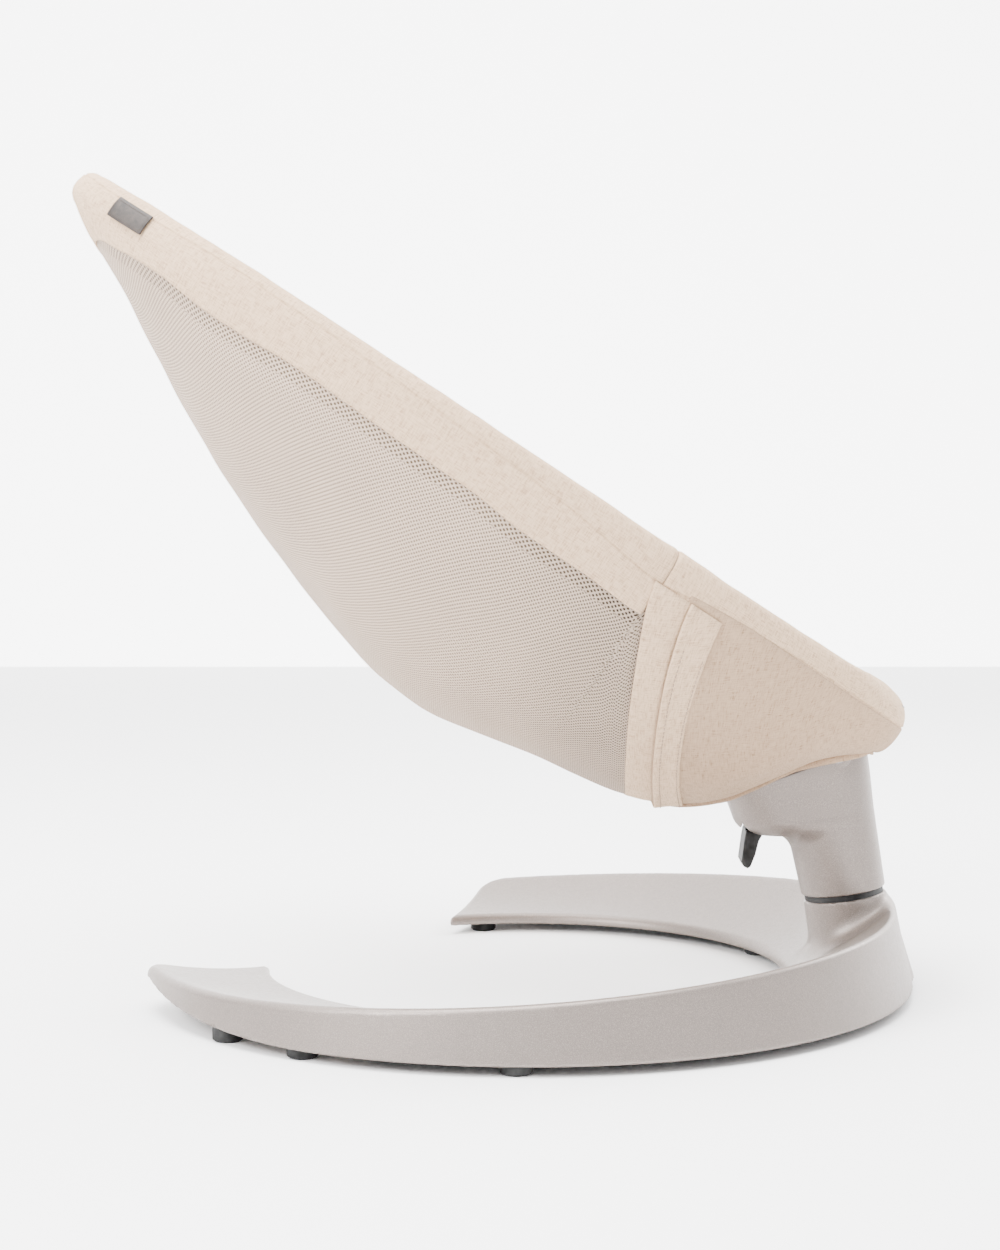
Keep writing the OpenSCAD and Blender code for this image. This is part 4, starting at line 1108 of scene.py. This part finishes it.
def settled(piece):
    return bpy.data.meshes.new_from_object(piece.evaluated_get(bpy.context.evaluated_depsgraph_get()))


def in_rim(points):
    """Rim coordinates of points in metres."""
    ring = points / MM - [SHIFT, 0, 0]
    s, n = ring_to_rim(ring[:, 0], ring[:, 2])
    return s, -ring[:, 1], n


def remeshed_liner():
    """Even copy of the liner's CAD solid, moved with the stretched cloth and kept clear of it."""
    source = frame["nodes"]["padded_liner"]
    mesh = source.data.copy()
    mesh.materials.clear()
    mesh.materials.append(LINER)
    mesh.transform(source.matrix_world)
    pad = bpy.data.objects.new("seat_pad", mesh)
    bpy.context.scene.collection.objects.link(pad)
    remesh = pad.modifiers.new("even", "REMESH")
    remesh.mode = "VOXEL"
    remesh.voxel_size = 0.005
    pad.data = settled(pad)
    pad.modifiers.clear()
    rest = of_vertices(pad.data, "co")
    s, y, n = in_rim(rest)
    share = np.clip(np.abs(y) / np.maximum(half_width(s, COVER_R), 1), 0, 1)
    up = smooth_at(s, TAUT) * (1 - share ** (2 / BOW)) ** (BOW / 2) * MM
    outside = wall_level(s, y) + up / MM - n > PAD_FACE
    rest = rest + up[:, None] * np.array([math.sin(RIM_SLOPE), 0, math.cos(RIM_SLOPE)])
    rest = rest - of_vertices(pad.data, "normal") * outside[:, None] * 3.0 * MM
    store(pad.data, rest)
    return pad, rest


def fill(pad, rest, deep):
    """Points of the pad swollen by cloth pressure, capped on its face and more so on its back."""
    cloth = pad.modifiers.new("fill", "CLOTH")
    cloth.settings.quality = 5
    cloth.settings.use_pressure = True
    cloth.settings.uniform_pressure_force = 4.0
    cloth.settings.effector_weights.gravity = 0.0
    cloth.point_cache.frame_start, cloth.point_cache.frame_end = 1, 20
    for step in range(1, 21):
        bpy.context.scene.frame_set(step)
    move = of_vertices(settled(pad), "co") - rest
    pad.modifiers.clear()
    bpy.context.scene.frame_set(1)
    cap = np.where(deep, PAD_SWELL, PAD_BACK_SWELL)
    return rest + move * np.minimum(1, cap / (np.linalg.norm(move, axis=1) + 1e-9))[:, None]


def quilting(s, y):
    """Depth of the sewn channels: curved ones across the seat and one up each side."""
    across = np.abs((s + 6 * np.cos(y / 60) + CHANNEL_PITCH / 2) % CHANNEL_PITCH - CHANNEL_PITCH / 2)
    cross = 3.8 * np.exp(-((across / CHANNEL_W) ** 2))
    cross *= np.clip((s - 200) / 40, 0, 1) * np.clip((740 - s) / 40, 0, 1)
    sides = 2.6 * np.exp(-(((np.abs(y) - 92) / CHANNEL_W) ** 2))
    sides *= np.clip((s - 300) / 60, 0, 1) * np.clip((660 - s) / 60, 0, 1)
    return np.maximum(cross, sides)


def seat_pad():
    """The liner: filled by cloth pressure, kept close outside, quilted on its face."""
    pad, rest = remeshed_liner()
    s, y, n = in_rim(rest)
    deep = wall_level(s, y) - n < PAD_FACE
    rest = fill(pad, rest, deep)
    store(pad.data, rest)
    s, y, _ = in_rim(rest)
    store(pad.data, rest - of_vertices(pad.data, "normal") * (quilting(s, y) * deep * MM)[:, None])
    smooth = pad.modifiers.new("even", "SUBSURF")
    smooth.levels = smooth.render_levels = 1
    pad.data = settled(pad)
    pad.modifiers.clear()
    pad.data.polygons.foreach_set("use_smooth", np.ones(len(pad.data.polygons), bool))
    if not pad.data.materials:
        pad.data.materials.append(LINER)
    s, y, n = in_rim(of_vertices(pad.data, "co"))
    lay_flat(pad.data, np.stack([s, np.arctan2(y, 60 - n) * 150], -1) * MM)
    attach(pad, "seat")
    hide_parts("padded_liner")


# ---------------------------------------------------------------- harness and tag
STRAP_W, STRAP_EDGE, STRAP_T = 0.025, 11.9, 0.8
CROTCH = [(236, 0, -177), (240, 0, -168), (252, 0, -157), (268, 0, -146), (287, 0, -135.5)]
WAIST = [
    (372, 150, -116), (370, 142, -121), (364, 126, -128), (355, 108, -132),
    (344, 88, -133), (333, 66, -131), (325, 46, -129.4),
]


def strap_outline():
    """Section of the webbing: two slightly crowned faces and rounded selvedges."""
    def face(x, side):
        return x, side * (STRAP_T + 0.12 * math.cos(x * 2 * math.pi / 24))

    outline = [face(x, 1) for x in np.linspace(-STRAP_EDGE, STRAP_EDGE, 12)]
    outline += [(12.4, 0.45), (12.5, 0), (12.4, -0.45)]
    outline += [face(x, -1) for x in np.linspace(STRAP_EDGE, -STRAP_EDGE, 12)]
    return np.array(outline + [(-12.4, -0.45), (-12.5, 0), (-12.4, 0.45)])


def strap(name, stations, side, node):
    """Webbing 25 x 1.6 mm through the stations, its width along side."""
    stations, side = np.array(stations, float), np.array(side, float)
    run = running_length(stations)
    fine = np.linspace(0, run[-1], 60)
    path = np.stack([smooth_at(fine, list(zip(run, stations[:, k]))) for k in range(3)], 1)
    along = np.gradient(path, axis=0)
    along /= np.linalg.norm(along, axis=1)[:, None]
    wide = side - along * (along @ side)[:, None]
    wide /= np.linalg.norm(wide, axis=1)[:, None]
    up = np.cross(along, wide)
    outline = strap_outline()
    rows = path[:, None] + wide[:, None] * outline[None, :, :1] + up[:, None] * outline[None, :, 1:]
    points = rim_to_ring(rows[..., 0], rows[..., 1], rows[..., 2]).reshape(-1, 3)
    uv = flat_uv(fine[:, None], outline[None, :, 0])
    piece = new_piece(name, points, tube_faces(*rows.shape[:2]), WEBBING, "seat", uv)
    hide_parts(node)


def label():
    """Blank leather tag hanging from the rim's seam near the head, stitched round its border."""
    q, down = np.linspace(107, 147, 41), np.linspace(-1.0, 16.2, 20)
    o, n, run, seam = seam_at(q)
    rows, up = [], []
    for i in range(len(q)):
        length = seam[i] + down
        po, pn = np.interp(length, run[i], o[i]), np.interp(length, run[i], n[i])
        do, dn = np.gradient(po, length), np.gradient(pn, length)
        lift = 1.5 + 0.5 * np.clip(down / 17, 0, 1) ** 2
        rows.append(np.stack([po - dn * lift, pn + do * lift], -1))
        up.append(np.stack([-dn, do], -1))
    rows, up = np.array(rows), np.array(up)
    wide_q = np.broadcast_to(q[:, None], rows.shape[:2])
    points = rim_point(wide_q, rows).reshape(-1, 3)
    uv = flat_uv(wide_q, down[None])
    tag = new_piece("label_leather", points, grid_faces(*wide_q.shape), LEATHER, "seat", uv)
    thicken(tag, 1.2, 1.0)
    above = rim_point(wide_q, rows + up * 1.25)
    normal = rim_point(wide_q, rows + up * 1.25 + up) - above
    border = [(slice(2, -2), 3), (slice(2, -2), -3), (2, slice(3, -2)), (-3, slice(3, -2))]
    paths = [(above[place], normal[place]) for place in border]
    thread = stitches("label_stitches", paths, TAG_THREAD, 2.6, 1.7, 0.36)
    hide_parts("label_tag")


upper_cover = rim_covers()
foot_panel(mesh_sling())
foot_lining()
seat_pad()
strap("crotch_webbing", CROTCH, (0, 1, 0), "crotch_strap")
strap("waist_webbing_left", WAIST, (1, 0, 0.2), "waist_strap_left")
strap("waist_webbing_right", [(s, -y, n) for s, y, n in WAIST], (1, 0, 0.2), "waist_strap_right")
label()


# ---------------------------------------------------------------- studio
def light(name, place, target, size, power):
    lamp = bpy.data.lights.new(name, "AREA")
    lamp.shape = "RECTANGLE"
    lamp.size, lamp.size_y = size
    lamp.energy = power
    holder = bpy.data.objects.new(name, lamp)
    holder.location = place
    way = np.array(target, float) - np.array(place, float)
    holder.rotation_euler = Vector(way).to_track_quat("-Z", "Y").to_euler()
    bpy.context.scene.collection.objects.link(holder)


def stage(name, mesh, material):
    mesh.materials.append(material)
    piece = bpy.data.objects.new(name, mesh)
    bpy.context.scene.collection.objects.link(piece)


def studio():
    """Pale floor, a lit backdrop, a big overhead softbox, a key from the head end and a light from behind."""
    floor = bpy.data.meshes.new("floor")
    made = bmesh.new()
    bmesh.ops.create_grid(made, x_segments=24, y_segments=24, size=9.0)
    made.to_mesh(floor)
    made.free()
    pale = Graph("pale_floor")
    pale.shade({"Base Color": (0.93, 0.93, 0.935), "Roughness": 0.9, "Specular IOR Level": 0.1})
    stage("floor", floor, pale.material)
    wall = bpy.data.meshes.new("backdrop")
    corners = [(-8, 3.6, -0.01), (8, 3.6, -0.01), (8, 3.6, 7), (-8, 3.6, 7)]
    wall.from_pydata(corners, [], [(0, 1, 2, 3)])
    lit = Graph("lit_backdrop")
    lit.shade({"Base Color": (0.9, 0.9, 0.9), "Emission Color": (1, 1, 1), "Emission Strength": 4.0})
    stage("backdrop", wall, lit.material)
    world = bpy.data.worlds.new("studio")
    bpy.context.scene.world = world
    world.use_nodes = True
    world.node_tree.nodes["Background"].inputs["Color"].default_value = (1.0, 1.0, 1.0, 1)
    world.node_tree.nodes["Background"].inputs["Strength"].default_value = 1.7
    light("overhead", (-0.3, -0.3, 2.6), (0, 0, 0.2), (2.4, 2.0), 260)
    light("key", (-1.9, -1.7, 1.9), (0, 0, 0.35), (1.3, 1.3), 150)
    light("rim", (1.9, 1.2, 1.5), (0.1, 0, 0.3), (1.0, 1.4), 60)


def camera():
    lens = bpy.data.cameras.new("camera")
    lens.lens = 67.56
    lens.sensor_width = 36.0
    eye = bpy.data.objects.new("camera", lens)
    eye.location = (0.0052, -2.010, 0.4281)
    eye.rotation_euler = (math.radians(90 - 3.348), 0, 0)
    bpy.context.scene.collection.objects.link(eye)
    bpy.context.scene.camera = eye


camera()
studio()
